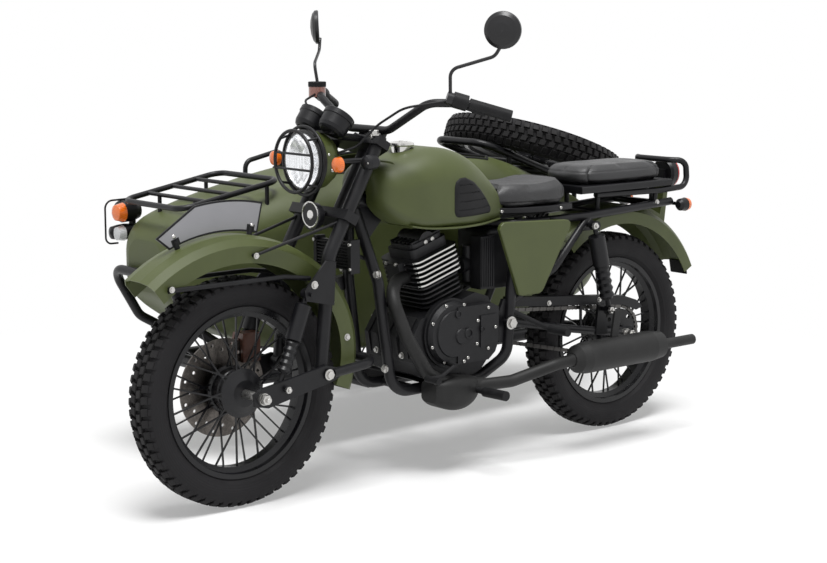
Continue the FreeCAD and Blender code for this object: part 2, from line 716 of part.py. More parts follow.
horn_base = steer(0, -s.leg_offset - 26, -s.yoke_gap - 2)
horn = revolved([(0, 0), (0, 16), (16, 36), (34, 40), (40, 40), (40, 0)],
                (36, horn_base[1] - 14, horn_base[2] - 8), (0, -1, 0))
horn_bracket = rod((36, horn_base[1] + 16, horn_base[2]), (36, horn_base[1] - 16, horn_base[2] - 8), 14)
horn = joined([horn, horn_bracket]).cut(yokes)
feature("front_signals", Part.makeCompound(front_indicators + [horn]))

# Grips, levers, switches and mirrors

grip_start, grip_end = Vector(*bar_half[1]), Vector(*bar_half[0])
grip_axis = (grip_end - grip_start).normalize()


def along_grip(distance, forward=0.0, up=0.0):
    """A point beside the grip, measured inward from the end of the handlebar."""
    point = grip_end - grip_axis * distance
    return (point.x - forward * 0.55, point.y - forward * 0.8, point.z + up)


grip = rod(along_grip(120), along_grip(-4), 34)
pod = rod(along_grip(168), along_grip(126), 46)
perch = tube([along_grip(150), along_grip(150, 40, 0), along_grip(96, 58, 4), along_grip(10, 62, 0)], 11, 24)
cable = tube([along_grip(150, 40, 0), (232, -322, 1118), (136, -338, 1066), (98, -384, 1004), (58, -440, 982)], 7, 60)
control = joined([grip, pod, perch, cable]).cut([leg, yokes, gauges, shell])
reservoir = Part.makeCylinder(26, 46, Vector(*along_grip(132, 50, -6)), Vector(0, 0, 1))
reservoir = mirrored(reservoir)
controls = [control.cut(handlebar), joined([mirrored(control), reservoir]).cut(handlebar)]
feature("handlebar_controls", Part.makeCompound(controls))

mirror_foot = Vector(*along_grip(176, 0, 12))
mirror_points = [tuple(mirror_foot), (mirror_foot.x + 8, mirror_foot.y - 8, mirror_foot.z + 70),
                 (402.0, -132.0, 1262.0), (418.0, -116.0, 1300.0)]
mirror_stem = tube(mirror_points, 10, 30)
mirror_head = revolved([(0, 0), (0, 50), (-3, 53), (-12, 52), (-20, 42), (-26, 22), (-28, 0)],
                       (420.0, -118.0, 1335.0), (-0.62, 0.78, 0.05))
mirror_clamp = Part.makeCylinder(18, 22, mirror_foot - grip_axis * 11 - Vector(0, 0, 12), grip_axis)
mirrors = [piece.cut([handlebar, carried]) for piece, carried in
           zip(both_sides(joined([mirror_stem, mirror_head, mirror_clamp])), controls)]
feature("mirrors", Part.makeCompound(mirrors))

# Brake caliper on the right arm

caliper_centre = (disc_x, front_axle_y + 84, axle_z + 84)
caliper = Part.makeBox(40, 60, 84, Vector(disc_x - 18, front_axle_y + 62, axle_z + 66))
caliper_slot = revolved([(0, 0), (0, disc_outer + 6), (disc_thick + 6, disc_outer + 6), (disc_thick + 6, 0)],
                        (disc_x - 3, front_axle_y, axle_z), (1, 0, 0))
caliper = caliper.cut(caliper_slot)
caliper_arm = flat_plate([(front_axle_y + 60, axle_z + 20), (front_axle_y + 120, axle_z + 30),
                          (front_axle_y + 126, axle_z + 140), (front_axle_y + 90, axle_z + 140)],
                         -arm_x - arm_thick, -arm_x)
caliper_lugs = rod((-arm_x, front_axle_y + 110, axle_z + 136), (disc_x - 16, front_axle_y + 110, axle_z + 136), 14)
front_caliper = joined([caliper, caliper_arm, caliper_lugs]).cut([link_arm, mirrored(front_shock), mirrored(leg)])
feature("front_caliper", front_caliper)

# Frame of the solo machine

head_radius = 27.0
head_top, head_low = steer(0, 0, -14), steer(0, 0, -s.yoke_gap + 18)
head_tube = rod(head_low, head_top, 2 * head_radius)
stem_room = rod(steer(0, 0, -s.yoke_gap - 20), steer(0, 0, 20), 2 * (stem_radius + s.axle_clearance))
cradle_x, cradle_z, upright_x, pivot = 78.0, 262.0, 122.0, (184.0, 434.0)
seat_rail_z, seat_rail_end = 733.0, 960.0
down_tubes = both_sides(tube([(14, head_y - 64, 812), (cradle_x - 8, -284, 600), (cradle_x, -238, cradle_z),
                              (cradle_x, 110, cradle_z), (upright_x, pivot[0] + 6, 330),
                              (upright_x, pivot[0] + 22, 540), (cradle_x + 26, pivot[0] + 70, seat_rail_z)],
                             s.frame_tube, 70))
top_tube = rod((0, head_y - 60, 842), (0, 200, 748), 40)
seat_rails = both_sides(tube([(0, 150, seat_rail_z), (cradle_x + 14, 260, seat_rail_z), (cradle_x + 24, 560, seat_rail_z),
                              (cradle_x + 24, seat_rail_end, seat_rail_z + 20)], 26, 80))
rear_stays = both_sides(tube([(upright_x, pivot[0] + 14, pivot[1] + 60), (upright_x - 8, 400, 580),
                              (cradle_x + 24, 566, seat_rail_z)], 24, 90))
rail_bridge = rod((-cradle_x - 24, 640, seat_rail_z + 3), (cradle_x + 24, 640, seat_rail_z + 3), 22)
tail_bridge = rod((-cradle_x - 24, 900, seat_rail_z + 16), (cradle_x + 24, 900, seat_rail_z + 16), 22)
cross_low = rod((-cradle_x, -150, cradle_z), (cradle_x, -150, cradle_z), 26)
cross_rear = rod((-cradle_x, 90, cradle_z), (cradle_x, 90, cradle_z), 26)
gusset = flat_plate([(head_y - 50, 830), (head_y - 62, 800), (-284, 700), (-200, 790), (-200, 820)], -5, 5)
pivot_plates = both_sides(flat_plate([(158, 372), (204, 366), (216, 500), (176, 506), (158, 470)],
                                     upright_x - 14, upright_x - 2))
shock_x_rear, panel_inner = 140.0, 140.0
rear_shock_top, rear_shock_foot = (shock_x_rear, 556.0, 706.0), (shock_x_rear, 630.0, 424.0)
shock_studs = both_sides(rod((cradle_x + 20, rear_shock_top[1], rear_shock_top[2]),
                             (shock_x_rear + 16, rear_shock_top[1], rear_shock_top[2]), 14))
shock_tabs = both_sides(flat_plate([(530, 742), (590, 744), (574, 686), (546, 686)], cradle_x + 18, cradle_x + 26))
pivot_pin = rod((-upright_x - 24, *pivot), (upright_x + 24, *pivot), 20)
panel_tabs = sum([both_sides(rod((start_x, y, z), (panel_inner, y, z), 14))
                  for start_x, y, z in ((112, 222, 590), (100, 226, 700), (92, 390, 733))], [])
tank_rest = Part.makeBox(70, 22, 28.7, Vector(-35, 188, 721))
frame = joined([head_tube, tank_rest] + down_tubes + [top_tube] + seat_rails + rear_stays
               + [rail_bridge, tail_bridge, cross_low, cross_rear, gusset] + pivot_plates + shock_studs + shock_tabs
               + panel_tabs)
frame = frame.cut([stem_room, pivot_pin])
feature("frame", frame)

# Engine: one closed block with a finned cylinder and side covers

deck_y, deck_z, cylinder_tilt = -20.0, 512.0, 17.0
deck_slope = math.tan(math.radians(cylinder_tilt))
engine = new_body("engine_case")
padded(engine, drawn(engine, "YZ_Plane", [
    (-190, 420), (-182, 350), (-150, 304), (-120, 288), (60, 284), (92, 296), (128, 336), (146, 380), (146, 470), (120, 520),
    (66, deck_z + deck_slope * (66 - deck_y)), (-106, deck_z + deck_slope * (-106 - deck_y)), (-150, 480)]),
       220, midplane=True)
cover_y, cover_z = -39.0, 425.0
drum(engine, 106, 18, (100, cover_y, cover_z), (1, 0, 0))
drum(engine, 98, 24, (100, cover_y, cover_z), (1, 0, 0))
drum(engine, 98, 12, (124, cover_y, cover_z), (1, 0, 0), 88)
drum(engine, 72, 4, (136, cover_y, cover_z), (1, 0, 0), 70)
drum(engine, 26, 6, (138, cover_y + 24, cover_z - 10), (1, 0, 0), 22)
padded(engine, drawn(engine, "YZ_Plane", [
    (-30, 330), (96, 330), (124, 352), (138, 384), (138, 490), (110, 504), (-30, 504)], 100), 40)
padded(engine, drawn(engine, "YZ_Plane", [(60, 372), (126, 384), (126, 470), (60, 470)], 138), 6)
drum(engine, 94, 26, (-100, -60, 420), (-1, 0, 0))
drum(engine, 94, 12, (-126, -60, 420), (-1, 0, 0), 78)
drum(engine, 40, 8, (-136, -60, 420), (-1, 0, 0), 36)
padded(engine, drawn(engine, "YZ_Plane", [(-40, 335), (96, 340), (122, 380), (122, 480), (-40, 496)], -136), 36)
padded(engine, drawn(engine, "YZ_Plane", [(-150, 288), (-120, 276), (56, 276), (80, 292)], -67), 134)
sump_rib = padded(engine, drawn(engine, "YZ_Plane", [(-186, 360), (-197, 420), (-156, 478), (-140, 470), (-140, 350)], -92), 8)
in_line(engine, sump_rib, 5, 176, "X_Axis")
crankcase = solid_of(keep(engine))

# The cylinder stands square on the deck of the case: fins, a wider finned head and a ribbed top cover


def round_corners(half_wide, half_deep, corner, steps=4):
    """A rectangle with round corners about the middle, as points."""
    points = []
    for turn, (x, y) in enumerate(((1, 1), (-1, 1), (-1, -1), (1, -1))):
        for step in range(steps + 1):
            angle = math.radians(90 * (turn + step / steps))
            points.append((x * (half_wide - corner) + corner * math.cos(angle),
                           y * (half_deep - corner) + corner * math.sin(angle)))
    return points


fin_pitch, fin_thick, fins_each = 15.0, 5.0, 6
fin_low = 8.0 - 14.0
barrel = new_body("engine_cylinder")
drum(barrel, 60, 176, (0, 0, 0), (0, 0, 1))
low_fin = padded(barrel, drawn(barrel, "XY_Plane", round_corners(79, 80, 26), fin_low + fin_pitch), fin_thick)
in_line(barrel, low_fin, fins_each - 1, fin_pitch * (fins_each - 2))
head_fin = padded(barrel, drawn(barrel, "XY_Plane", round_corners(89, 92, 30), fin_low + fin_pitch * fins_each), fin_thick)
in_line(barrel, head_fin, fins_each, fin_pitch * (fins_each - 1))
padded(barrel, drawn(barrel, "XY_Plane", round_corners(62, 72, 18), 120), 74)
padded(barrel, drawn(barrel, "XY_Plane", round_corners(56, 64, 22), 194), 14)
drum(barrel, 32, 104, (-52, 0, 196), (1, 0, 0))
top_rib = padded(barrel, drawn(barrel, "XY_Plane", [(-50, -58), (-44, -58), (-44, 58), (-50, 58)], 200), 14)
in_line(barrel, top_rib, 6, 94, "X_Axis")
padded(barrel, drawn(barrel, "XY_Plane", [(-30, -112), (30, -112), (30, -50), (-30, -50)], 114), 50)
drum(barrel, 26, 30, (30, 60, 118), (0, 1, 0))
drum(barrel, 11, 176, (-74, 10, 0), (0, 0, 1))
cylinder = solid_of(keep(barrel, (0, deck_y, deck_z), Rotation(Vector(1, 0, 0), cylinder_tilt)))

tunnel_ring = [(-330, 690), (-330, 872), (240, 778), (240, 690)]

# Intake, airbox, oil cooler

carburettor = joined([rod((30, 70, 612), (30, 148, 618), 52), rod((30, 108, 560), (30, 108, 670), 44)])
carburettor = carburettor.cut(cylinder)
airbox = Part.makeBox(150, 190, 190, Vector(-75, 150, 530))
airbox = airbox.makeFillet(20, airbox.Edges)
airbox_lugs = both_sides(rod((60, 300, 696), (cradle_x + 15, 300, seat_rail_z - 6), 18))
side_case = [Part.makeBox(46, 58, 162, Vector(58, 94, 542))]
side_case += [Part.makeBox(4, 4, 150, Vector(103, y, 548)) for y in range(98, 148, 9)]
airbox = joined([airbox] + airbox_lugs + side_case).cut([top_tube, carburettor] + down_tubes + seat_rails + rear_stays)
feature("intake", Part.makeCompound([carburettor, airbox]))

cooler_y, cooler_low, cooler_high, cooler_half = -398.0, 636.0, 734.0, 82.0
cooler_fins = [Part.makeBox(2 * cooler_half, 30, 4, Vector(-cooler_half, cooler_y, cooler_low + 10 + 9 * index))
               for index in range(9)]
cooler_tanks = [Part.makeBox(14, 34, cooler_high - cooler_low, Vector(x, cooler_y - 2, cooler_low))
                for x in (-cooler_half - 6, cooler_half - 8)]
cooler_core = Part.makeBox(2 * cooler_half, 16, cooler_high - cooler_low - 16,
                           Vector(-cooler_half, cooler_y + 8, cooler_low + 8))
cooler_stays = both_sides(rod((36, cooler_y + 20, cooler_low + 60), (36, -300, cooler_low + 30), 12))
oil_cooler = joined([cooler_core] + cooler_tanks + cooler_fins + cooler_stays).cut(down_tubes + [gusset])
feature("oil_cooler", oil_cooler)

# Exhaust

header_points = [(20, -112, 600), (40, -190, 590), (104, -262, 560), (138, -232, 440), (140, -150, 316),
                 (146, -60, 268), (150, 60, 262)]
header = tube(header_points, 40, 80)
collector = loft([rounded_section(-140, 132, 34, 228, 290, 16, 16), rounded_section(-100, 132, 52, 206, 296, 24, 24),
                  rounded_section(-10, 132, 52, 206, 296, 24, 24), rounded_section(30, 132, 34, 226, 288, 16, 16)])
header = joined([header, collector]).cut([cylinder, crankcase] + down_tubes + [cross_low, cross_rear])
link_pipe = tube([(150, 30, 258), (186, 150, 262), (226, 300, 300), (230, 372, 306)], 38, 80)
silencer = revolved([(0, 0), (0, 22), (18, 44), (50, 50), (350, 50), (400, 44), (416, 22), (416, 0)],
                    (230, 370, 306), (0, 1, 0))
tail_pipe = rod((230, 780, 303), (230, 938, 303), 34)
tail_bore = rod((230, 860, 303), (230, 960, 303), 28)
silencer_strap = flat_plate([(545, 350), (575, 350), (590, 440), (560, 440)], 224, 232)
muffler = joined([link_pipe, silencer, tail_pipe, silencer_strap]).cut([tail_bore, header])
feature("exhaust", Part.makeCompound([header, muffler]))

# Fuel tank

tank_sections = [(-294, 62, 836, 916, 24, 34), (-270, 112, 800, 938, 30, 66), (-210, 140, 764, 956, 30, 84),
                 (-100, 153, 750, 984, 30, 96), (20, 148, 748, 966, 30, 92), (120, 112, 748, 910, 26, 70),
                 (200, 78, 750, 838, 20, 40), (232, 58, 754, 796, 14, 20)]
tank = loft([rounded_section(y, 0, *rest) for y, *rest in tank_sections])
tank_tunnel = flat_plate(tunnel_ring, -28, 28)
tank = tank.cut(tank_tunnel)
seam = loft([rounded_section(y, 0, half + 5, low - 2, low + 4, 2.5, 2.5)
             for y, half, low in ((-212, 138, 764), (-100, 150, 750), (20, 146, 748), (120, 112, 748), (196, 78, 750))])
tank = joined([tank, seam.cut(tank_tunnel)])
cap_neck = Part.makeCylinder(30, 40, Vector(0, -136, 966))
tank = tank.cut(cap_neck)
head_room = rod(steer(0, 0, -s.yoke_gap - 20), steer(0, 0, 60), 2 * 40)
yoke_ring = [Vector(*steer(-150, back, up)) for back, up in ((-90, -20), (46, -20), (46, 60), (-90, 60))]
yoke_room = Part.Face(Part.makePolygon(yoke_ring + yoke_ring[:1])).extrude(Vector(300, 0, 0))
tank = largest(tank.cut([cylinder, frame, head_room, yoke_room]))
feature("fuel_tank", tank)
cap = turned_body("fuel_cap", [(0, 0), (0, 29.5), (22, 29.5), (22, 38), (26, 39), (32, 37), (35, 30), (35, 22), (33, 20), (33, 0)])
drum(cap, 9, 6, (32, 0, 0), (1, 0, 0), 7)
keep(cap, (0, -136, 966), Rotation(Vector(1, 0, 0), Vector(0, 0, 1)))

# Seats

rider_seat = loft([rounded_section(y, 0, half, low, high, 14, 24) for y, half, low, high in
                   ((150, 70, 800, 828), (190, 100, 790, 846), (300, 128, 786, 850), (420, 138, 786, 858),
                    (480, 130, 790, 856), (500, 112, 800, 838))])
rider_pan = loft([rounded_section(y, 0, half, low, high, 4, 4) for y, half, low, high in
                  ((160, 62, 764, 784), (300, 112, 762, 782), (480, 112, 762, 782))])
rider_seat = rider_seat.cut(tank)
feature("rider_seat", rider_seat)
rider_pan = rider_pan.cut([tank, frame])

def cushion(label, wide, deep, tall, radius, at=(0, 0, 0)):
    """A seat pad with round edges; its front edge lies across the middle of the point."""
    pad = new_body(label)
    block = pad.newObject("PartDesign::AdditiveBox", label + "_block")
    block.Length, block.Width, block.Height = wide, deep, tall
    block.Placement = Placement(Vector(-wide / 2, 0, 0), Rotation())
    doc.recompute()
    soft = pad.newObject("PartDesign::Fillet", label + "_round")
    soft.Base = (block, [f"Edge{index + 1}" for index in range(len(block.Shape.Edges))])
    soft.Radius = radius
    pad.Placement = Placement(Vector(*at), Rotation())
    return pad


keep(cushion("pillion_seat", 232, 440, 60, 20), (0, 510, 830))
pillion_pan = loft([rounded_section(y, 0, 118, 806, 829.5, 6, 6) for y in (520, 950)])
pan_posts = [rod((x, y, 740), (x, y, 812), 16) for x in (-70, 70) for y in (640, 900)]
grab_loop = both_sides(tube([(100, 600, 798), (108, 900, 794), (112, 1030, 800), (108, 1026, 886), (70, 984, 888),
                             (0, 984, 888)], 20, 36))
loop_stays = both_sides(rod((102, 880, 756), (107, 880, 795), 16))
pillion_rack = joined([pillion_pan] + pan_posts + grab_loop + loop_stays).cut(frame)
rack_pieces = [solid for solid in pillion_rack.Solids if solid.Volume > 10000]
feature("seat_carriers", Part.makeCompound([rider_pan] + rack_pieces))

# Side panels

left_panel = new_body("left_side_panel")
panel_pad = padded(left_panel, drawn(left_panel, "YZ_Plane", [
    (129, 728), (134, 740), (146, 748), (160, 749), (412, 738), (427, 735), (436, 726), (434, 712), (322, 530),
    (313, 519), (300, 514), (226, 514), (213, 519), (208, 532)], panel_inner), 12)
doc.recompute()
rim_edges = [f"Edge{index + 1}" for index, edge in enumerate(left_panel.Shape.Edges)
             if edge.BoundBox.XMin > panel_inner + 11.9]
soften = left_panel.newObject("PartDesign::Fillet", "left_panel_round")
soften.Base = (panel_pad, rim_edges)
soften.Radius = 4
right_panel = doc.addObject("Part::Mirroring", "right_side_panel")
right_panel.Source = left_panel
right_panel.Normal = Vector(1, 0, 0)
side_panels = doc.addObject("Part::Compound", "side_panels")
side_panels.Links = [left_panel, right_panel]
keep(side_panels)

# Swingarm, axle and shocks at the rear

swing_x, swing_tube = 90.0, 26.0
pivot_tube_end = upright_x - s.frame_tube / 2 - 1
pivot_tube = rod((-pivot_tube_end, *pivot), (pivot_tube_end, *pivot), 38)
swing_arms = both_sides(tube([(swing_x, *pivot), (swing_x, 470, 376), (swing_x + 2, rear_axle_y - 10, axle_z)],
                             swing_tube, 120))
swing_cross = rod((-swing_x, 290, 412), (swing_x, 290, 412), 26)
arm_ends = both_sides(flat_plate([(rear_axle_y - 60, axle_z - 16), (rear_axle_y + 34, axle_z - 20),
                                  (rear_axle_y + 38, axle_z + 16), (rear_axle_y - 60, axle_z + 24)],
                                 swing_x - 8, swing_x + 8))
shock_brackets = both_sides(flat_plate([(606, 340), (662, 336), (646, 438), (616, 438)], swing_x + 6, swing_x + 16))
foot_studs = both_sides(rod((swing_x + 8, *rear_shock_foot[1:]), (shock_x_rear + 18, *rear_shock_foot[1:]), 14))
rear_axle_end, arm_outer, rear_spacer = swing_x + 34, swing_x + 8, hub_half + 22
rear_axle_body = turned_body("rear_axle", [
    (-rear_axle_end, 0), (-rear_axle_end, s.axle_radius), (-arm_outer - 12, s.axle_radius), (-arm_outer - 12, 16),
    (-arm_outer, 16), (-arm_outer, s.axle_radius), (-swing_x + 8, s.axle_radius), (-swing_x + 8, 13),
    (-rear_spacer, 13), (-rear_spacer, s.axle_radius), (rear_spacer, s.axle_radius), (rear_spacer, 13),
    (swing_x - 8, 13), (swing_x - 8, s.axle_radius), (arm_outer, s.axle_radius), (arm_outer, 16),
    (arm_outer + 12, 16), (arm_outer + 12, s.axle_radius), (rear_axle_end, s.axle_radius), (rear_axle_end, 0)])
rear_axle = solid_of(keep(rear_axle_body, rear_centre))
swingarm = joined([pivot_tube] + swing_arms + [swing_cross] + arm_ends + shock_brackets + foot_studs)
swingarm = swingarm.cut([pivot_pin, rear_axle])
feature("swingarm", Part.makeCompound([swingarm, pivot_pin]))
rear_shock = shock(rear_shock_top, rear_shock_foot, 27, 0.46, 25, 24)
rear_shocks = [piece.cut(shock_studs + foot_studs) for piece in both_sides(rear_shock)]
feature("rear_shocks", Part.makeCompound(rear_shocks))

# Chain and its guard on the left

chain_x = sprocket_x + 18
drive_y, drive_z, drive_radius = 96.0, 430.0, 40.0
chain_wide, chain_tall = 12.0, 14.0


def chain_band(outer):
    """The outline round both sprockets, drawn at a distance from their pitch circles."""
    small, large = drive_radius + outer, sprocket_radius + outer
    span_y, span_z = rear_axle_y - drive_y, axle_z - drive_z
    distance = math.hypot(span_y, span_z)
    slope = math.atan2(span_z, span_y)
    lean = math.acos((small - large) / distance)

    def at(centre, radius, angle):
        return Vector(chain_x - chain_wide / 2, centre[0] + radius * math.cos(angle), centre[1] + radius * math.sin(angle))

    front, back = (drive_y, drive_z), (rear_axle_y, axle_z)
    top, low = slope + lean, slope - lean
    edges = [Part.Arc(at(front, small, top), at(front, small, slope + math.pi), at(front, small, low)),
             Part.LineSegment(at(front, small, low), at(back, large, low)),
             Part.Arc(at(back, large, low), at(back, large, slope), at(back, large, top)),
             Part.LineSegment(at(back, large, top), at(front, small, top))]
    return Part.Face(Part.Wire([edge.toShape() for edge in edges])).extrude(Vector(chain_wide, 0, 0))


chain = chain_band(chain_tall / 2).cut(chain_band(-chain_tall / 2))
feature("chain", chain.cut([crankcase]))
guard = flat_plate([(236, 500), (650, 462), (760, 450), (820, 430), (850, 404), (840, 400), (812, 422), (756, 440),
                    (650, 452), (236, 490)], chain_x - 14, chain_x + 16)
guard_lip = flat_plate([(236, 500), (650, 462), (760, 450), (820, 430), (850, 404), (820, 396), (756, 420),
                        (650, 432), (236, 470)], chain_x + 14, chain_x + 17)
guard_stay = rod((chain_x + 10, 560, 462), (swing_x - 2, 552, 360), 10)
chain_guard = joined([guard, guard_lip, guard_stay]).cut(swingarm)
feature("chain_guard", chain_guard)

# Rear fender and lamps

rear_crown, rear_half = 424.0, 78.0
rear_fender = fender_band(rear_crown, rear_half, 62, (rear_axle_y, axle_z), 28, 128)
tail_bracket = flat_plate([(900, 716), (1000, 662), (1012, 668), (1030, 800), (1012, 800), (990, 700), (908, 740)], -30, 30)
rear_fender = joined([rear_fender, tail_bracket]).cut(frame)
feature("rear_fender", rear_fender.cut([pillion_rack]))
tail_lamp = revolved([(0, 0), (0, 44), (10, 50), (34, 50), (44, 40), (48, 0)], (0, 1027, 836), (0, 1, 0))
tail_mount = flat_plate([(1014, 798), (1030, 798), (1030, 850), (1018, 850)], -22, 22)
rear_indicators = [joined([revolved([(-26, 0), (-26, 12), (-16, 20), (8, 22), (20, 20), (26, 12), (28, 0)],
                                    (side * 132, 990, 742), (0, 1, 0)), rod((side * 26, 996, 742), (side * 132, 990, 742), 12)])
                   for side in (-1, 1)]
feature("rear_lamps", Part.makeCompound([joined([tail_lamp, tail_mount]).cut([rear_fender, pillion_rack])]
                                        + [lamp.cut(rear_fender) for lamp in rear_indicators]))

# Foot pegs, pedals

rider_pegs = both_sides(joined([rod((cradle_x + 10, 20, 250), (206, 20, 250), 18), rod((206, 20, 250), (300, 20, 252), 30)]))
pillion_pegs = both_sides(joined([rod((upright_x + 6, pivot[0] + 14, 470), (168, 330, 400), 16),
                                  rod((168, 330, 400), (250, 330, 400), 26)]))
shift_lever = joined([rod((120, -60, 338), (166, -60, 334), 16),
                      tube([(160, -56, 336), (170, -120, 312), (176, -180, 312)], 12, 30),
                      rod((168, -180, 312), (226, -180, 312), 20)])
brake_pedal = joined([tube([(-114, 60, 262), (-150, -40, 262), (-158, -150, 296)], 12, 30), rod((-150, -150, 296), (-214, -150, 296), 20)])
controls_low = [largest(piece.cut([frame, collector, header, link_pipe, crankcase])) for piece in
                rider_pegs + pillion_pegs + [shift_lever, brake_pedal]]
feature("footpegs", Part.makeCompound(controls_low))

# Sidecar chassis

rail_z = 262.0
rail_in, rail_out = -(s.body_middle - 236), -(s.body_middle + 236)
tube_size = s.sidecar_tube
perimeter = ring_tube([(rail_in, -440, rail_z), (rail_in - 60, -520, rail_z + 30), (rail_out + 60, -520, rail_z + 30),
                       (rail_out, -440, rail_z), (rail_out, 820, rail_z), (rail_in, 820, rail_z)], tube_size, 90)
cross_tubes = [rod((rail_in, y, rail_z), (rail_out, y, rail_z), 34) for y in (-230, 250)]
axle_beam = rod((rail_in, sidecar_axle_y - 230, rail_z), (rail_out - 84, sidecar_axle_y - 230, rail_z), 38)
rear_beam = rod((rail_out + 10, sidecar_axle_y + 110, rail_z), (rail_out - 84, sidecar_axle_y + 110, rail_z), 30)
shock_tower = tube([(rail_out - 6, sidecar_axle_y - 20, rail_z), (rail_out - 40, sidecar_axle_y - 20, 360),
                    (rail_out - 44, sidecar_axle_y - 20, 560)], 26, 60)
low_front = rod((rail_in, -200, rail_z), (-cradle_x, -200, cradle_z), 30)
low_rear = rod((rail_in, 120, rail_z), (-cradle_x - 20, 120, cradle_z), 30)
front_lug = flat_plate([(-320, 600), (-268, 606), (-262, 566), (-306, 560)], -cradle_x - 24, -cradle_x + 4)
high_front = rod((rail_in + 4, -300, rail_z + 10), (-cradle_x - 16, -290, 584), 26)
high_rear = rod((rail_in + 14, 456, rail_z), (-cradle_x - 24, 456, seat_rail_z - 4), 26)
chassis_tubes = [perimeter] + cross_tubes + [axle_beam, rear_beam, shock_tower]
sidecar_frame = joined(chassis_tubes)
struts = [piece.cut([frame, sidecar_frame, crankcase]) for piece in
          (low_front, low_rear, joined([high_front, front_lug]), high_rear)]
feature("sidecar_struts", Part.makeCompound([largest(piece) for piece in struts]))

# Trailing arm, stub axle and spring leg of the sidecar wheel

arm_pivot_y, arm_pivot_x = sidecar_axle_y - 230, rail_out - 100
stub_inner = -s.track + hub_half + 3
trail_boss = Part.makeCylinder(26, 44, Vector(arm_pivot_x - 22, arm_pivot_y, rail_z), Vector(1, 0, 0))
trail_arm = joined([trail_boss, tube([(arm_pivot_x, arm_pivot_y, rail_z), (arm_pivot_x, arm_pivot_y + 120, rail_z + 6),
                                      (stub_inner + 14, sidecar_axle_y, axle_z)], 30, 60),
                    rod((stub_inner, sidecar_axle_y, axle_z), (stub_inner + 34, sidecar_axle_y, axle_z), 50)])
axle_outer = -hub_half - 3
sidecar_axle_body = turned_body("sidecar_axle", [
    (-74, 0), (-74, s.axle_radius), (-66, s.axle_radius), (-66, 16), (axle_outer, 16), (axle_outer, s.axle_radius),
    (hub_half + 23, s.axle_radius), (hub_half + 23, 0)])
sidecar_axle = solid_of(keep(sidecar_axle_body, sidecar_centre))
trail_arm = trail_arm.cut([sidecar_axle, sidecar_frame])
feature("sidecar_arm", trail_arm)

# Sidecar body: a boat shaped shell with an open cockpit

body_sections = [(-668, 96, 530, 690, 60, 60), (-640, 150, 496, 730, 80, 84), (-560, 196, 440, 764, 90, 100),
                 (-400, 232, 360, 806, 90, 120), (-180, 254, 312, 850, 70, 120), (80, 262, 296, 886, 60, 110),
                 (400, 262, 296, 906, 60, 104), (620, 256, 300, 886, 60, 110), (900, 236, 330, 790, 70, 120),
                 (1130, 190, 400, 690, 80, 110), (1170, 150, 440, 660, 80, 90)]
middle = -s.body_middle
body = loft([rounded_section(y, middle, *rest) for y, *rest in body_sections])
wall = s.body_wall
inner_sections = [(y, half - wall, low + wall, high - wall, corner_low - wall, corner_high - wall)
                  for y, half, low, high, corner_low, corner_high in body_sections if -450 < y < 700]
cavity = loft([rounded_section(y, middle, *rest) for y, *rest in inner_sections])
mouth_half, mouth_front, mouth_rear = 196.0, -60.0, 612.0
mouth_ring = [Vector(middle + x, y, 0) for x, y in ((-150, mouth_front), (150, mouth_front), (mouth_half, mouth_front + 90),
                                                   (mouth_half, mouth_rear - 40), (150, mouth_rear), (-150, mouth_rear),
                                                   (-mouth_half, mouth_rear - 40), (-mouth_half, mouth_front + 90))]
mouth = Part.Face(Part.makePolygon(mouth_ring + mouth_ring[:1])).extrude(Vector(0, 0, 400))
mouth.translate(Vector(0, 0, 640))
body = largest(body.cut([cavity, mouth]).cut(chassis_tubes + [high_front]))

seat_box = Part.makeBox(400, 320, 97, Vector(middle - 200, 200, 300))
body = joined([body, seat_box]).cut(chassis_tubes)
feature("sidecar_body", body)
sidecar_seat = doc.addObject("Part::Compound", "sidecar_seat")
sidecar_seat.Links = [cushion("seat_cushion", 424, 360, 122, 26, (0, 182, 397.3)),
                      cushion("seat_back", 410, 63.7, 330, 22, (0, 556, 526))]
keep(sidecar_seat, (-s.body_middle, 0, 0))


def deck_height(y, x=0.0):
    """The height of the outer skin above a point of the plan."""
    probe = Part.makeLine(Vector(middle + x, y, 500), Vector(middle + x, y, 1200))
    return max(vertex.Z for vertex in outer_skin.common(probe).Vertexes)


outer_skin = loft([rounded_section(y, middle, *rest) for y, *rest in body_sections])

# Luggage rack on the nose

rack_middle, rack_half, rack_front, rack_rear = middle + 20, 168.0, -652.0, -290.0
front_z, rear_z = 800.0, 866.0


def rack_z(y):
    return front_z + (rear_z - front_z) * (y - rack_front) / (rack_rear - rack_front)


rack_size = s.rack_tube
rack_rails = ring_tube([(rack_middle - rack_half, rack_front, front_z), (rack_middle + rack_half, rack_front, front_z),
                        (rack_middle + rack_half, rack_rear, rear_z), (rack_middle - rack_half, rack_rear, rear_z)],
                       rack_size, 44)
rack_bars = [rod((rack_middle - rack_half, y, rack_z(y)), (rack_middle + rack_half, y, rack_z(y)), 13)
             for y in (-560, -470, -380)]
rack_legs = []
for x, y in ((-100, -560), (100, -560), (-rack_half, -340), (rack_half, -340)):
    foot = deck_height(y, rack_middle + x - middle)
    rack_legs.append(rod((rack_middle + x, y, foot - 12), (rack_middle + x, y, rack_z(y)), 13))
luggage_rack = joined([rack_rails] + rack_bars + rack_legs).cut(outer_skin)
feature("luggage_rack", luggage_rack)

# Front bumper hoop

bumper = tube([(middle - 120, -470, 352), (middle - 150, -600, 430), (middle - 160, -690, 590), (middle + 160, -690, 590),
               (middle + 150, -600, 430), (middle + 120, -470, 352)], 30, 60)
bumper_legs = [rod((middle + x, -478, 356), (middle + x * 0.92, -505, rail_z + 30), 30) for x in (-122, 122)]
bumper = joined([bumper] + bumper_legs).cut([body, sidecar_frame])
feature("bumper", largest(bumper))

# Grab rail at the cockpit

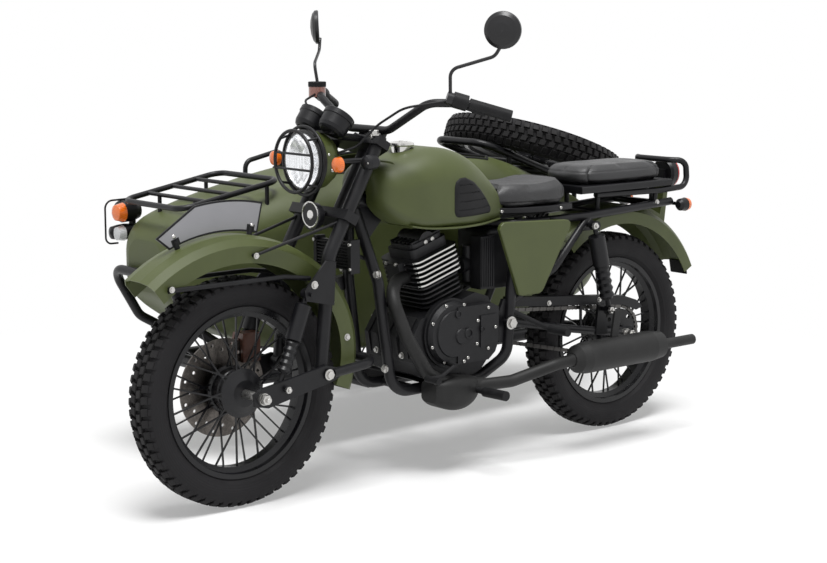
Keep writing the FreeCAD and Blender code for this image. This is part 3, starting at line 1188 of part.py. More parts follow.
rail_side = -(s.body_middle + 170)
rail_front_z, rail_back_z = deck_height(-170, -170), deck_height(-20, -170)
grab_rail = tube([(rail_side, -170, rail_front_z - 12), (rail_side, -168, rail_front_z + 46),
                  (rail_side, -20, rail_back_z + 52), (rail_side, -16, rail_back_z - 12)], 16, 30).cut(outer_skin)
feature("grab_rail", grab_rail)

# Fender of the sidecar wheel with its stays

sidecar_fender = fender_band(386.0, 80.0, 60, (sidecar_axle_y, axle_z), 12, 176, -s.track)
stay_front = tube([(-s.track + 78, sidecar_axle_y - 352, 392), (rail_out - 30, sidecar_axle_y - 356, 330),
                   (rail_out - 4, sidecar_axle_y - 356, rail_z + 6)], 16, 40)
stay_rear = tube([(-s.track + 78, sidecar_axle_y + 340, 430), (rail_out - 30, 818, 340),
                  (rail_out - 4, 800, rail_z + 8)], 16, 40)
tower_tie = rod((-s.track + 78, sidecar_axle_y - 20, 655), (rail_out - 44, sidecar_axle_y - 20, 552), 18)
sidecar_fender = joined([sidecar_fender, tower_tie]).cut([body, sidecar_frame])
feature("sidecar_fender", largest(sidecar_fender))
stay_pieces = [largest(piece.cut([sidecar_fender, sidecar_frame])) for piece in (stay_front, stay_rear)]
feature("sidecar_frame", Part.makeCompound([sidecar_frame] + stay_pieces))

# Outer marker lamp at the nose with its wire guard

lamp_x, lamp_y_side = -(s.body_middle + 196), -560.0
side_lamp = revolved([(0, 0), (0, 26), (20, 34), (60, 36), (70, 30), (74, 0)], (lamp_x, lamp_y_side - 10, 760), (0, -1, 0))
side_lens = revolved([(0, 0), (0, 30), (24, 24), (34, 0)], (lamp_x, lamp_y_side - 84, 760), (0, -1, 0))
lower_lens = revolved([(0, 0), (0, 24), (22, 20), (30, 0)], (lamp_x, lamp_y_side - 84, 694), (0, -1, 0))
lower_lamp = revolved([(0, 0), (0, 22), (50, 26), (74, 24), (74, 0)], (lamp_x, lamp_y_side - 10, 694), (0, -1, 0))
lamp_stem = rod((lamp_x, lamp_y_side - 30, 690), (lamp_x, lamp_y_side - 30, 760), 22)
lamp_foot = rod((lamp_x + 60, lamp_y_side + 10, 700), (lamp_x, lamp_y_side - 30, 700), 22)
lamp_wire = tube([(lamp_x, lamp_y_side - 40, 798), (lamp_x, lamp_y_side - 128, 796), (lamp_x, lamp_y_side - 128, 660),
                  (lamp_x, lamp_y_side - 84, 660)], 6, 26)
lamp_post = rod((lamp_x, lamp_y_side - 40, 790), (lamp_x, lamp_y_side - 40, 800), 8)
marker = joined([side_lamp, side_lens, lower_lens, lower_lamp, lamp_stem, lamp_foot, lamp_wire, lamp_post]).cut([body])
feature("marker_lamp", largest(marker))

# Spare wheel on the sloping carrier behind the cockpit

tilt = math.radians(s.spare_tilt)
spare_centre = Vector(middle, s.spare_back, s.spare_height)
spare_axis = Vector(0, math.sin(tilt), math.cos(tilt))
spare_turn = Rotation(Vector(1, 0, 0), spare_axis)
spare_place = (-s.body_middle, s.spare_back, s.spare_height)
tyre("spare_tyre", spare_place, spare_turn)
keep(spoked_rim("spare_rim"), spare_place, spare_turn)
carrier_drop = s.tyre_width / 2 + 15


def slope_point(x, along, lift):
    """A point on the slanted plane of the spare wheel, along its slope and above it."""
    point = spare_centre + Vector(0, math.cos(tilt), -math.sin(tilt)) * along + spare_axis * lift
    return (middle + x, point.y, point.z)


carrier_loop = ring_tube([slope_point(130, 220, -carrier_drop), slope_point(130, -360, -carrier_drop),
                          slope_point(-130, -360, -carrier_drop), slope_point(-130, 220, -carrier_drop)], 26, 60)
carrier_bars = [rod(slope_point(-136, along, -carrier_drop), slope_point(136, along, -carrier_drop), 22) for along in (-110, 60)]
carrier_feet = []
for x in (-130, 130):
    for along in (-230, 120):
        head = slope_point(x, along, -carrier_drop)
        carrier_feet.append(rod((head[0], head[1], deck_height(head[1], x) - 14), head, 18))
hub_post = rod(slope_point(0, 0, -hub_half - 20), slope_point(0, 0, hub_half + 14), 2 * s.axle_radius)
hub_bar = rod(slope_point(-130, 0, -carrier_drop), slope_point(130, 0, -carrier_drop), 26)
hub_nut = rod(slope_point(0, 0, hub_half + 1), slope_point(0, 0, hub_half + 12), 44)
carrier = joined([carrier_loop] + carrier_bars + carrier_feet + [hub_post, hub_bar, hub_nut]).cut(outer_skin)
feature("spare_carrier", carrier)

# Shift the machine so that the origin is in the middle of its footprint

doc.recompute()
box = FreeCAD.BoundBox()
for part in parts:
    if not box.isValid() or not box.isInside(part.Shape.BoundBox):
        box.add(part.Shape.optimalBoundingBox(False))
shift = {"shift_x": -box.Center.x, "shift_y": -box.Center.y}
for alias, number in shift.items():
    sheet.set(alias, str(round(number, 3)))
doc.recompute()
print("shift", {alias: round(number, 3) for alias, number in shift.items()})
print("box", [round(number, 1) for number in (box.XLength, box.YLength, box.ZLength, box.ZMin)])

# Check every object, then write one file for each sub-part

for item in doc.Objects:
    if "Invalid" in item.State or "Error" in item.State:
        raise RuntimeError(f"{item.Name} did not compute: {item.State}")
os.makedirs("parts", exist_ok=True)
for part in parts:
    if part.Shape.isNull() or not part.Shape.isValid():
        raise RuntimeError(f"{part.Label} has no valid shape")
    part.Shape.exportStep(f"parts/{part.Label}.step")
print(len(parts), "sub-parts")
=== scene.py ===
import json
import math

import bpy
import bmesh
from mathutils import Matrix, Vector
from mathutils.bvhtree import BVHTree


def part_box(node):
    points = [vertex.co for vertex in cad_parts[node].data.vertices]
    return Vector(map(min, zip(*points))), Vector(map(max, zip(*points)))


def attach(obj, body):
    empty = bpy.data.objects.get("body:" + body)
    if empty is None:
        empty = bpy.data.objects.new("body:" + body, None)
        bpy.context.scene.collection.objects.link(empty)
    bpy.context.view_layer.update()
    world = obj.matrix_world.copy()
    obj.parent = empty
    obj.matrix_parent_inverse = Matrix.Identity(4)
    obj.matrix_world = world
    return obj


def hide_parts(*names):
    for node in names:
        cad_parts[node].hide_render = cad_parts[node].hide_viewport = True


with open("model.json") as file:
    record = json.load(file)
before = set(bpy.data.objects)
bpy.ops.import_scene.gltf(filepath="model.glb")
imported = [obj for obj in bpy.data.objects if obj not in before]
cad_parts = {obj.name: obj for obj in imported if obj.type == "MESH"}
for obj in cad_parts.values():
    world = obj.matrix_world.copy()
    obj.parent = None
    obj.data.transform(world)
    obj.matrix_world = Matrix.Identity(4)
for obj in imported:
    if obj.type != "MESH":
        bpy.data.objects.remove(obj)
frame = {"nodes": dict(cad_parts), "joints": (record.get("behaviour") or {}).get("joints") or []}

scene = bpy.context.scene
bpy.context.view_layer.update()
nodes = frame["nodes"]
print("frame loaded,", len(nodes), "nodes")

# The machine's own middle plane and the middle between its axles, as the steering joint gives them
joints = {joint["name"]: Vector(joint["pos_m"]) for joint in frame["joints"]}
steeringLead = 0.262
machine = Vector((joints["steering"].x, joints["steering"].y + steeringLead, 0))


def at(x, y, z):  # a point in the machine's own millimetres
    return machine + Vector((x, y, z)) / 1000


class Value:  # a shader socket that Python's operators work on

    def __init__(self, finish, socket):
        self.finish, self.socket = finish, socket

    def maths(self, operation, *others):
        return self.finish.node("ShaderNodeMath", {"operation": operation}, self, *others)

    def __add__(self, other): return self.maths("ADD", other)
    __radd__ = __add__
    def __sub__(self, other): return self.maths("SUBTRACT", other)
    def __rsub__(self, other): return self.maths("MULTIPLY", -1.0).maths("ADD", other)
    def __mul__(self, other): return self.maths("MULTIPLY", other)
    __rmul__ = __mul__
    def __truediv__(self, other): return self.maths("DIVIDE", other)
    def __gt__(self, other): return self.maths("GREATER_THAN", other)
    def __lt__(self, other): return self.maths("LESS_THAN", other)
    def __abs__(self): return self.maths("ABSOLUTE")


class Finish:  # the nodes of a material with one Principled surface, or of the world

    def __init__(self, name, world=False):
        self.material = (bpy.data.worlds if world else bpy.data.materials).new(name)
        self.material.use_nodes = True
        self.tree = self.material.node_tree
        self.tree.nodes.clear()
        self.output = self.tree.nodes.new("ShaderNodeOutputWorld" if world else "ShaderNodeOutputMaterial")
        if not world:
            self.surface = self.tree.nodes.new("ShaderNodeBsdfPrincipled")
            self.show(Value(self, self.surface.outputs[0]))

    def show(self, value):
        self.tree.links.new(value.socket, self.output.inputs["Surface"])

    def join(self, socket, value):
        if isinstance(value, Value):
            self.tree.links.new(value.socket, socket)
        elif isinstance(value, (int, float)) or socket.type == "VALUE":
            socket.default_value = value
        elif socket.type == "RGBA" and len(value) == 3:
            socket.default_value = (*value, 1)
        else:
            socket.default_value = value

    def node(self, kind, settings=None, *values, out=0, **named):
        made = self.tree.nodes.new(kind)
        for setting, choice in (settings or {}).items():
            setattr(made, setting, choice)
        free = [socket for socket in made.inputs if socket.enabled]
        for socket, value in zip(free, values):
            self.join(socket, value)
        for name, value in named.items():
            wanted = [socket for socket in free if socket.name.replace(" ", "") == name]
            self.join(wanted[0], value)
        return Value(self, [socket for socket in made.outputs if socket.enabled][out])

    def place(self):  # the point of the surface, in metres
        return self.node("ShaderNodeTexCoord", out=3)

    def parts(self, vector):
        split = self.node("ShaderNodeSeparateXYZ", None, vector)
        return [Value(self, output) for output in split.socket.node.outputs]

    def facing(self):  # the parts of the surface's normal
        return self.parts(self.node("ShaderNodeNewGeometry", out=1))

    def seen(self):  # 1 for what the camera sees, straight, mirrored or through glass
        rays = self.node("ShaderNodeLightPath").socket.node.outputs
        names = ("Is Camera Ray", "Is Glossy Ray", "Is Transmission Ray")
        return sum((Value(self, rays[name]) for name in names), 0).maths("MINIMUM", 1.0)

    def noise(self, scale, detail=4.0, roughness=0.55):
        return self.node("ShaderNodeTexNoise", {"noise_dimensions": "3D"}, Vector=self.place(), Scale=scale,
                         Detail=detail, Roughness=roughness)

    def blend(self, factor, first, second):
        return self.node("ShaderNodeMix", {"data_type": "RGBA", "clamp_factor": True}, factor, first, second)

    def between(self, value, low, high, lowTo=0.0, highTo=1.0):
        return self.node("ShaderNodeMapRange", {"clamp": True}, value, low, high, lowTo, highTo)

    def worn(self, cloud, low, high):  # a roughness that wanders with a noise
        return self.between(cloud, 0.3, 0.7, low, high)

    def mottled(self, cloud, dark, light, high=0.7):
        return self.blend(self.between(cloud, 0.35, high), dark, light)

    def bump(self, height, distance, strength=1.0, normal=None):
        values = {"Height": height, "Distance": distance, "Strength": strength}
        if normal:
            values["Normal"] = normal
        return self.node("ShaderNodeBump", None, **values)

    def set(self, **values):
        for name, value in values.items():
            wanted = [socket for socket in self.surface.inputs if socket.name.replace(" ", "") == name]
            self.join(wanted[0], value)


# Finishes

def distance(first, second):  # of two shader values at right angles
    return (first * first + second * second).maths("SQRT")


def scaled(colour, share, lift=0.0):
    return tuple(part * share + lift for part in colour)


def paint(name, colour, roughness, grain, dust=0.05, gleam=0.5):  # a mottle, a fine peel and a little dust
    made = Finish(name)
    cloud = made.noise(9.0, 5.0)
    speck = made.noise(420.0, 2.0)
    peel = made.noise(grain, 2.0)
    tone = made.mottled(cloud, scaled(colour, 1 - dust), scaled(colour, 1 + dust, 0.004), 0.65)
    dusty = made.blend(made.between(speck, 0.62, 0.80) * 0.05, tone, (0.20, 0.19, 0.17))
    made.set(BaseColor=dusty, Roughness=made.worn(cloud, roughness - 0.05, roughness + 0.06),
             SpecularIORLevel=gleam, Normal=made.bump(peel, 0.0004, 0.35))
    return made


def metalFinish(name, colour, roughness, scratch=260.0, depth=0.0003):  # plated, with fine wear
    made = Finish(name)
    wear = made.noise(scratch, 6.0, 0.7)
    cloud = made.noise(22.0, 3.0)
    made.set(BaseColor=made.mottled(cloud, scaled(colour, 0.82), colour), Metallic=1.0,
             Roughness=made.worn(wear, roughness - 0.06, roughness + 0.12),
             Normal=made.bump(wear, depth, 0.3))
    return made


def rubberFinish(name, colour, roughness):
    made = Finish(name)
    fine, cloud = made.noise(700.0, 3.0), made.noise(30.0, 4.0)
    tone = made.mottled(cloud, colour, scaled(colour, 1.5, 0.004))
    made.set(BaseColor=tone, Roughness=made.worn(cloud, roughness - 0.06, roughness + 0.06),
             SpecularIORLevel=0.25, Normal=made.bump(fine, 0.0006, 0.5))
    return made


colours = {
    "olive": (0.058, 0.073, 0.017),
    "black": (0.0035, 0.0035, 0.0048),
    "rubber": (0.0045, 0.0045, 0.0052),
    "leather": (0.0105, 0.0105, 0.0115),
    "steel": (0.62, 0.61, 0.59),
    "orange": (0.80, 0.16, 0.01),
    "red": (0.42, 0.012, 0.010),
    "clear": (0.55, 0.56, 0.57),
    "plateGrey": (0.30, 0.30, 0.32),
}

olive = paint("oliveMattPaint", colours["olive"], 0.50, 1500.0)
blackPaint = paint("satinBlackPowder", colours["black"], 0.38, 1200.0, dust=0.15, gleam=0.3)
blackGloss = paint("glossBlackPaint", colours["black"], 0.28, 900.0, dust=0.1, gleam=0.35)
exhaustBlack = paint("heatProofBlack", (0.009, 0.009, 0.009), 0.52, 1800.0, dust=0.25, gleam=0.3)
brightSteel = metalFinish("platedSteel", colours["steel"], 0.28)
polishedCap = metalFinish("polishedCap", (0.75, 0.74, 0.72), 0.12, 120.0, 0.0001)
gripRubber = rubberFinish("gripRubber", colours["rubber"], 0.62)


def castingFinish():  # black coat over a sandy skin
    made = Finish("blackCasting")
    sand, cloud = made.noise(900.0, 3.0, 0.6), made.noise(14.0, 4.0)
    tone = made.mottled(cloud, (0.0065, 0.0065, 0.0078), (0.012, 0.012, 0.0135), 0.65)
    made.set(BaseColor=tone, Metallic=0.2, SpecularIORLevel=0.35, Roughness=made.worn(cloud, 0.42, 0.56),
             Normal=made.bump(sand, 0.0007, 0.5))
    return made


casting = castingFinish()

# The barrel's foot and lean, and where the bare rims lie, in metres across and along it
barrel = {"tilt": math.radians(17), "foot": at(0, -20, 512), "side": 0.072, "front": (0.076, 0.088),
          "head": (0.080, 0.178)}


def cylinderFinish():  # black fins, their rims polished bare on the head
    made = Finish("finnedCylinder")
    sine, cosine, foot = math.sin(barrel["tilt"]), math.cos(barrel["tilt"]), barrel["foot"]
    x, y, z = made.parts(made.place())
    ny, nz = made.facing()[1:]
    along = (y - foot.y) * -sine + (z - foot.z) * cosine
    across = (y - foot.y) * cosine + (z - foot.z) * sine
    facing = abs(ny * -sine + nz * cosine) < 0.3
    front = (abs(across) > barrel["front"][0]) * (abs(across) < barrel["front"][1])
    rim = (abs(x - foot.x) > barrel["side"]).maths("MAXIMUM", front)
    head = (along > barrel["head"][0]) * (along < barrel["head"][1])
    polished = facing * rim * head
    sand, cloud = made.noise(900.0, 3.0, 0.6), made.noise(14.0, 4.0)
    black = made.mottled(cloud, (0.010, 0.010, 0.012), (0.020, 0.020, 0.022), 0.65)
    made.set(BaseColor=made.blend(polished, black, (0.60, 0.60, 0.58)), Metallic=polished * 0.75 + 0.2,
             Roughness=0.5 - polished * 0.28, Normal=made.bump(sand, 0.0006, 0.4))
    return made


finned = cylinderFinish()


def tyreFinish(name, centre, axis):  # faint rings on the walls and a dustier tread
    made = Finish(name)
    turned = made.node("ShaderNodeVectorMath", {"operation": "SUBTRACT"}, made.place(), tuple(centre))
    along = made.node("ShaderNodeVectorMath", {"operation": "DOT_PRODUCT"}, turned, tuple(axis))
    long = made.node("ShaderNodeVectorMath", {"operation": "LENGTH"}, turned)
    radius = (long * long - along * along).maths("SQRT")
    rings = (radius * 900.0).maths("SINE")
    wall = (radius > tyre["rings"][0]) * (radius < tyre["rings"][1])
    fine, cloud = made.noise(600.0, 3.0), made.noise(26.0, 5.0)
    tread = made.between(radius, *tyre["dusty"])
    base = made.mottled(cloud, (0.0080, 0.0075, 0.0085), (0.012, 0.0112, 0.0125))
    tone = made.blend(tread * 0.6, base, (0.013, 0.0125, 0.0125))
    made.set(BaseColor=tone, SpecularIORLevel=0.25, Roughness=made.worn(cloud, 0.60, 0.78),
             Normal=made.bump(rings * wall, 0.0004, 0.4, made.bump(fine, 0.0005, 0.4)))
    return made


def leatherFinish(name, colour):  # a grained seat cover
    made = Finish(name)
    cells = made.node("ShaderNodeTexVoronoi", {"feature": "DISTANCE_TO_EDGE"}, Vector=made.place(),
                      Scale=420.0)
    cloud, fine = made.noise(16.0, 4.0), made.noise(1500.0, 2.0)
    grain = made.between(cells, 0.0, 0.10)
    tone = made.blend(made.between(cloud, 0.3, 0.7), colour, scaled(colour, 1.7))
    made.set(BaseColor=tone, Roughness=made.worn(cloud, 0.36, 0.50), SpecularIORLevel=0.6,
             Normal=made.bump(grain, 0.0005, 0.35, made.bump(fine, 0.0002, 0.3)))
    return made


def glassFinish(name, colour, alpha=0.09):  # a clear lens with upright flutes
    made = Finish(name)
    x = made.parts(made.place())[0]
    flutes = (x * 520.0).maths("SINE")
    shade = made.blend(made.between(flutes, -0.9, 0.9), scaled(colour, 0.8), colour)
    made.set(BaseColor=shade, Roughness=0.05, CoatWeight=1.0, Normal=made.bump(flutes, 0.0008, 0.5),
             Alpha=made.between(flutes, -1.0, 1.0, alpha * 0.7, alpha * 1.5))
    return made


def lensFinish(name, colour):  # ribbed coloured plastic, a little lit from inside
    made = Finish(name)
    x, z = made.parts(made.place())[::2]
    ribs = (x * 1400.0).maths("SINE") * (z * 1400.0).maths("SINE")
    shade = made.blend(made.between(ribs, -0.6, 0.8), scaled(colour, 0.72), colour)
    made.set(BaseColor=shade, Roughness=0.12, CoatWeight=0.8, EmissionColor=shade, EmissionStrength=0.12,
             Normal=made.bump(ribs, 0.0006, 0.3))
    return made


def discFinish(centre):  # a polished band with turning marks between a dark hub and the holes
    made = Finish("brakeDisc")
    y, z = made.parts(made.place())[1:]
    rings = (distance(y - centre.y, z - centre.z) * 5200.0).maths("SINE")
    wear = made.between(made.noise(90.0, 4.0), 0.3, 0.7)
    made.set(BaseColor=made.blend(wear, (0.10, 0.09, 0.085), (0.17, 0.155, 0.14)), Metallic=1.0,
             Roughness=made.between(rings, -1.0, 1.0, 0.26, 0.38), Normal=made.bump(rings, 0.0001, 0.3))
    return made


# The lamp's middle, and the reaches of its bowl, rims and ears in metres from there
shell = {"centre": at(0, -506, 964), "bowl": 0.078, "mouth": 0.070, "rim": 0.024,
         "ears": (0.079, 0.056, 0.0915)}


def headlightFinish(centre):  # olive shell, black bezel and ears, and a chrome bowl with painted reflections glowing in it
    made = Finish("headlightShell")
    x, y, z = made.parts(made.place())
    radius, away = distance(x - centre.x, z - centre.z), abs(x - centre.x)
    inside = (radius < shell["bowl"]) * (y < centre.y + shell["mouth"]) * (made.facing()[1] < 0.2)
    inner, behind, outer = shell["ears"]
    ears = ((away > inner) * (y > centre.y + behind)).maths("MAXIMUM", away > outer)
    bezel = ((y < centre.y + shell["rim"]) * (radius > shell["bowl"])).maths("MAXIMUM", ears)
    # Painted reflections: the chrome bowl glows in bright upright stripes, more towards its top and bottom
    # than at the lamp's level middle
    paintedFacetStripes = made.between(((x - centre.x) * 460.0).maths("SINE"), -0.5, 0.8, 0.45, 1.0)
    paintedBowlReflection = made.between(abs(z - centre.z), 0.010, 0.055, 0.16, 0.95) * paintedFacetStripes
    cloud, peel = made.noise(9.0, 5.0), made.noise(1500.0, 2.0)
    tone = made.mottled(cloud, scaled(colours["olive"], 0.95), colours["olive"], 0.65)
    tone = made.blend(bezel, tone, colours["black"])
    made.set(BaseColor=made.blend(inside, tone, (0.95, 0.96, 0.98)), Metallic=inside,
             EmissionColor=made.blend(inside * paintedBowlReflection, (0, 0, 0), (0.98, 0.98, 1.0)), EmissionStrength=0.42,
             Roughness=0.46 - inside * 0.38 - bezel * 0.14, Normal=made.bump(peel, 0.0003, 0.3))
    return made


def mirrorFinish(facing):  # black shells, a silvered face turned to the rider
    made = Finish("mirrorGlass")
    nx, ny, nz = made.facing()
    face = (abs(nx) * facing[0] + ny * facing[1] + nz * facing[2]) > 0.97
    peel = made.noise(900.0, 2.0)
    made.set(BaseColor=made.blend(face, colours["black"], (0.82, 0.84, 0.86)), Metallic=face,
             Roughness=0.36 - face * 0.33, Normal=made.bump(peel, 0.0002, 0.2))
    return made


def give(name, made):
    nodes[name].data.materials.clear()
    nodes[name].data.materials.append(made.material)


for name in nodes:
    give(name, blackPaint)
for name in ("front_fender", "fuel_tank", "side_panels", "rear_fender", "sidecar_body", "sidecar_fender"):
    give(name, olive)
for name in ("front_rim", "rear_rim", "sidecar_rim", "spare_rim"):
    give(name, blackGloss)
for name in ("front_axle", "rear_axle", "sidecar_axle", "chain"):
    give(name, brightSteel)
for name in ("engine_case", "intake", "oil_cooler"):
    give(name, casting)
give("engine_cylinder", finned)
give("exhaust", exhaustBlack)
give("fuel_cap", polishedCap)
give("front_disc", discFinish(joints["front_wheel_spin"]))
give("headlight", headlightFinish(shell["centre"]))
give("mirrors", mirrorFinish((0.62, 0.78, 0.05)))
give("handlebar_controls", rubberFinish("controls", colours["rubber"], 0.52))
give("front_caliper", paint("caliperBronze", (0.085, 0.026, 0.012), 0.38, 900.0, dust=0.2))
give("footpegs", gripRubber)
give("headlight_lens", glassFinish("lampGlass", (0.9, 0.93, 0.95)))
print("finishes given")


# Meshes by code

def shown(name, data):  # a new object in the scene
    made = bpy.data.objects.new(name, data)
    scene.collection.objects.link(made)
    return made


def newPiece(name, shape, finishes, body, sharp=30.0):
    bmesh.ops.recalc_face_normals(shape, faces=shape.faces)
    mesh = bpy.data.meshes.new(name)
    shape.to_mesh(mesh)
    shape.free()
    mesh.shade_smooth()
    mesh.set_sharp_from_angle(angle=math.radians(sharp))
    for made in finishes:
        mesh.materials.append(made.material)
    piece = shown(name, mesh)
    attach(piece, body)
    return piece


def aimed(point, way):  # places a form drawn in millimetres round Z, so that Z looks along a direction
    turn = Vector(way).to_track_quat("Z", "Y").to_matrix().to_4x4()
    return Matrix.Translation(point) @ turn @ Matrix.Scale(0.001, 4)


def dots(shape, place, points):  # new points of a mesh, in the frame of a matrix
    return [shape.verts.new(place @ Vector(point)) for point in points]


def circle(radius, steps):
    angles = [math.tau * step / steps for step in range(steps)]
    return [(radius * math.cos(angle), radius * math.sin(angle)) for angle in angles]


def skin(shape, rings):  # faces between closed rings, a lone point counting as a tip
    for first, second in zip(rings, rings[1:]):
        for step in range(max(len(first), len(second))):
            corners = [first[step % len(first)], first[(step + 1) % len(first)],
                       second[(step + 1) % len(second)], second[step % len(second)]]
            corners = list(dict.fromkeys(corners))
            if len(corners) > 2:
                shape.faces.new(corners)


def turned(shape, profile, place, steps):  # a form of revolution from (along, radius)
    rings = []
    for along, radius in profile:
        spots = [(0, 0)] if radius < 0.001 else circle(radius, steps)
        rings.append(dots(shape, place, [(x, y, along) for x, y in spots]))
    skin(shape, rings)


def swept(shape, points, radius, steps):  # a round line through points in metres
    rings = []
    for index, point in enumerate(points):
        ahead = points[min(index + 1, len(points) - 1)] - points[max(index - 1, 0)]
        place = Matrix.Translation(point) @ ahead.to_track_quat("Z", "Y").to_matrix().to_4x4()
        rings.append(dots(shape, place, [(x, y, 0) for x, y in circle(radius, steps)]))
    skin(shape, rings)
    shape.faces.new(list(reversed(rings[0])))
    shape.faces.new(rings[-1])


trees = {}


def seat(name, start, way):  # the point and normal where a line from outside meets a node
    if name not in trees:
        mesh = nodes[name].data
        points, faces = [vert.co for vert in mesh.vertices], [list(face.vertices) for face in mesh.polygons]
        trees[name] = BVHTree.FromPolygons(points, faces)
    return trees[name].ray_cast(start, Vector(way).normalized())[:2]


# Tyres with separate blocks on an even carcass

tyre = {
    "carcass": [(-34.7, 235.6), (-34.7, 246.5), (-43, 255), (-46, 258), (-47, 262), (-52.4, 272),
                (-53.8, 284), (-53.4, 298), (-51, 306), (-45, 312), (-36, 315), (-24, 317.4), (-10, 318.6)],
    "tread": [(0, 328), (24, 328), (47.5, 318), (54, 291)],
    "pitches": 62,
    "rows": [(-21.5, -2.5, 0.0, 0.68, 1.0), (2.5, 21.5, 0.5, 0.68, -1.0), (-45.5, -26, 0.45, 0.66, 0.6),
             (26, 45.5, 0.95, 0.66, -0.6)],
    "walls": [(47.5, 53.4, 0.45), (47.5, 53.4, 0.95)],
    "wallRadius": (317.5, 294.5),
    "wallHeight": 6.0,
    "wallShare": 0.60,
    "base": (314.0, 308.0),
    "lean": 0.006,
    "steps": 124,
    "rings": (0.262, 0.300),
    "dusty": (0.314, 0.327),
    "shoulder": 0.82,
}


def treadRadius(across):  # the outer line of the blocks
    across = abs(across)
    for (low, lowRadius), (high, highRadius) in zip(tyre["tread"], tyre["tread"][1:]):
        if across <= high:
            return lowRadius + (highRadius - lowRadius) * (across - low) / (high - low)
    return tyre["tread"][-1][1]


def lug(shape, corners, place, chamfer=1.6):  # one block, its corners as (across, angle, base, top)
    middle = [sum(corner[index] for corner in corners) / len(corners) for index in range(2)]
    rings = []
    for lift, inset in ((0.0, 0.0), (tyre["shoulder"], 0.0), (1.0, chamfer)):
        ring = []
        for across, angle, base, top in corners:
            radius = base + (top - base) * lift
            across -= math.copysign(min(inset, abs(across - middle[0])), across - middle[0])
            angle -= math.copysign(inset / top, angle - middle[1])
            ring.append((across, radius * math.cos(angle), radius * math.sin(angle)))
        rings.append(dots(shape, place, ring))
    skin(shape, rings)
    shape.faces.new(rings[-1])


def blockTyre(name, node, body, centre, axis=(1, 0, 0)):
    turn = Vector((1, 0, 0)).rotation_difference(Vector(axis)).to_matrix().to_4x4()
    place = Matrix.Translation(centre) @ turn @ Matrix.Scale(0.001, 4)
    shape = bmesh.new()
    line = tyre["carcass"] + [(-x, radius) for x, radius in reversed(tyre["carcass"])]
    rings = [dots(shape, place, [(x, y, z) for y, z in circle(radius, tyre["steps"])]) for x, radius in line]
    skin(shape, rings + rings[:1])
    pitch = math.tau / tyre["pitches"]
    for step in range(tyre["pitches"]):
        for low, high, shift, share, skew in tyre["rows"]:
            start = (step + shift) * pitch
            end = start + share * pitch
            lean = skew * tyre["lean"]
            base = tyre["base"][0] if abs(low + high) < 40 else tyre["base"][1]
            feet = [(low, start - lean), (high, start + lean), (high, end + lean), (low, end - lean)]
            lug(shape, [(across, angle, base, treadRadius(across)) for across, angle in feet], place)
        for side, (low, high, shift) in zip((-1, 1), tyre["walls"]):
            start = (step + shift) * pitch
            end = start + tyre["wallShare"] * pitch
            corners = [(side * low, tyre["wallRadius"][0]), (side * high, tyre["wallRadius"][1])]
            ring = []
            for angle in (start, end):
                for across, outer in corners if angle == start else reversed(corners):
                    ring.append((across, angle, outer - tyre["wallHeight"], outer))
            lug(shape, ring, place, 1.2)
    piece = newPiece(name, shape, [tyreFinish(name + "Rubber", centre, axis)], body, 28.0)
    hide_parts(node)


blockTyre("frontTyre", "front_tyre", "front_wheel", joints["front_wheel_spin"])
blockTyre("rearTyre", "rear_tyre", "rear_wheel", joints["rear_wheel_spin"])
blockTyre("sidecarTyre", "sidecar_tyre", "sidecar_wheel", joints["sidecar_wheel_spin"])
spareLow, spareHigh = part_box("spare_tyre")
spareTilt = math.radians(20)
blockTyre("spareTyre", "spare_tyre", "chassis", (Vector(spareLow) + Vector(spareHigh)) / 2,
          (0, math.sin(spareTilt), math.cos(spareTilt)))
print("tyres made")


# Roller chain laid along the band round both sprockets
# Sprockets as (y, z, radius), plates as distances from the middle
chain = {"front": (96.0, 430.0, 40.0), "rear": (750.0, 328.0, 86.0), "pitch": 15.875, "plate": 6.4,
         "waist": 4.9, "outer": (4.9, 5.9), "inner": (3.5, 4.5), "roller": (3.4, 4.3), "pin": (5.95, 2.3)}


def chainPath(count):  # the pins' places, evenly spaced along two arcs and two straight runs
    frontY, frontZ, small = chain["front"]
    rearY, rearZ, large = chain["rear"]
    spanY, spanZ = rearY - frontY, rearZ - frontZ
    distance, slope = math.hypot(spanY, spanZ), math.atan2(spanZ, spanY)
    lean = math.acos((small - large) / distance)
    straight = math.sqrt(distance ** 2 - (large - small) ** 2)
    legs = [(small * (math.tau - 2 * lean), "front"), (straight, "low"), (large * 2 * lean, "rear"),
            (straight, "top")]
    total = sum(length for length, part in legs)
    points = []
    for step in range(count):
        run = total * step / count
        for length, part in legs:
            if run <= length:
                break
            run -= length
        if part == "front":
            angle = slope + lean + run / small
            points.append((frontY + small * math.cos(angle), frontZ + small * math.sin(angle)))
        elif part == "rear":
            angle = slope - lean + run / large
            points.append((rearY + large * math.cos(angle), rearZ + large * math.sin(angle)))
        else:
            angle = slope - lean if part == "low" else slope + lean
            share = run / length if part == "low" else 1 - run / length
            first = (frontY + small * math.cos(angle), frontZ + small * math.sin(angle))
            second = (rearY + large * math.cos(angle), rearZ + large * math.sin(angle))
            points.append(tuple(here + (there - here) * share for here, there in zip(first, second)))
    return points, total


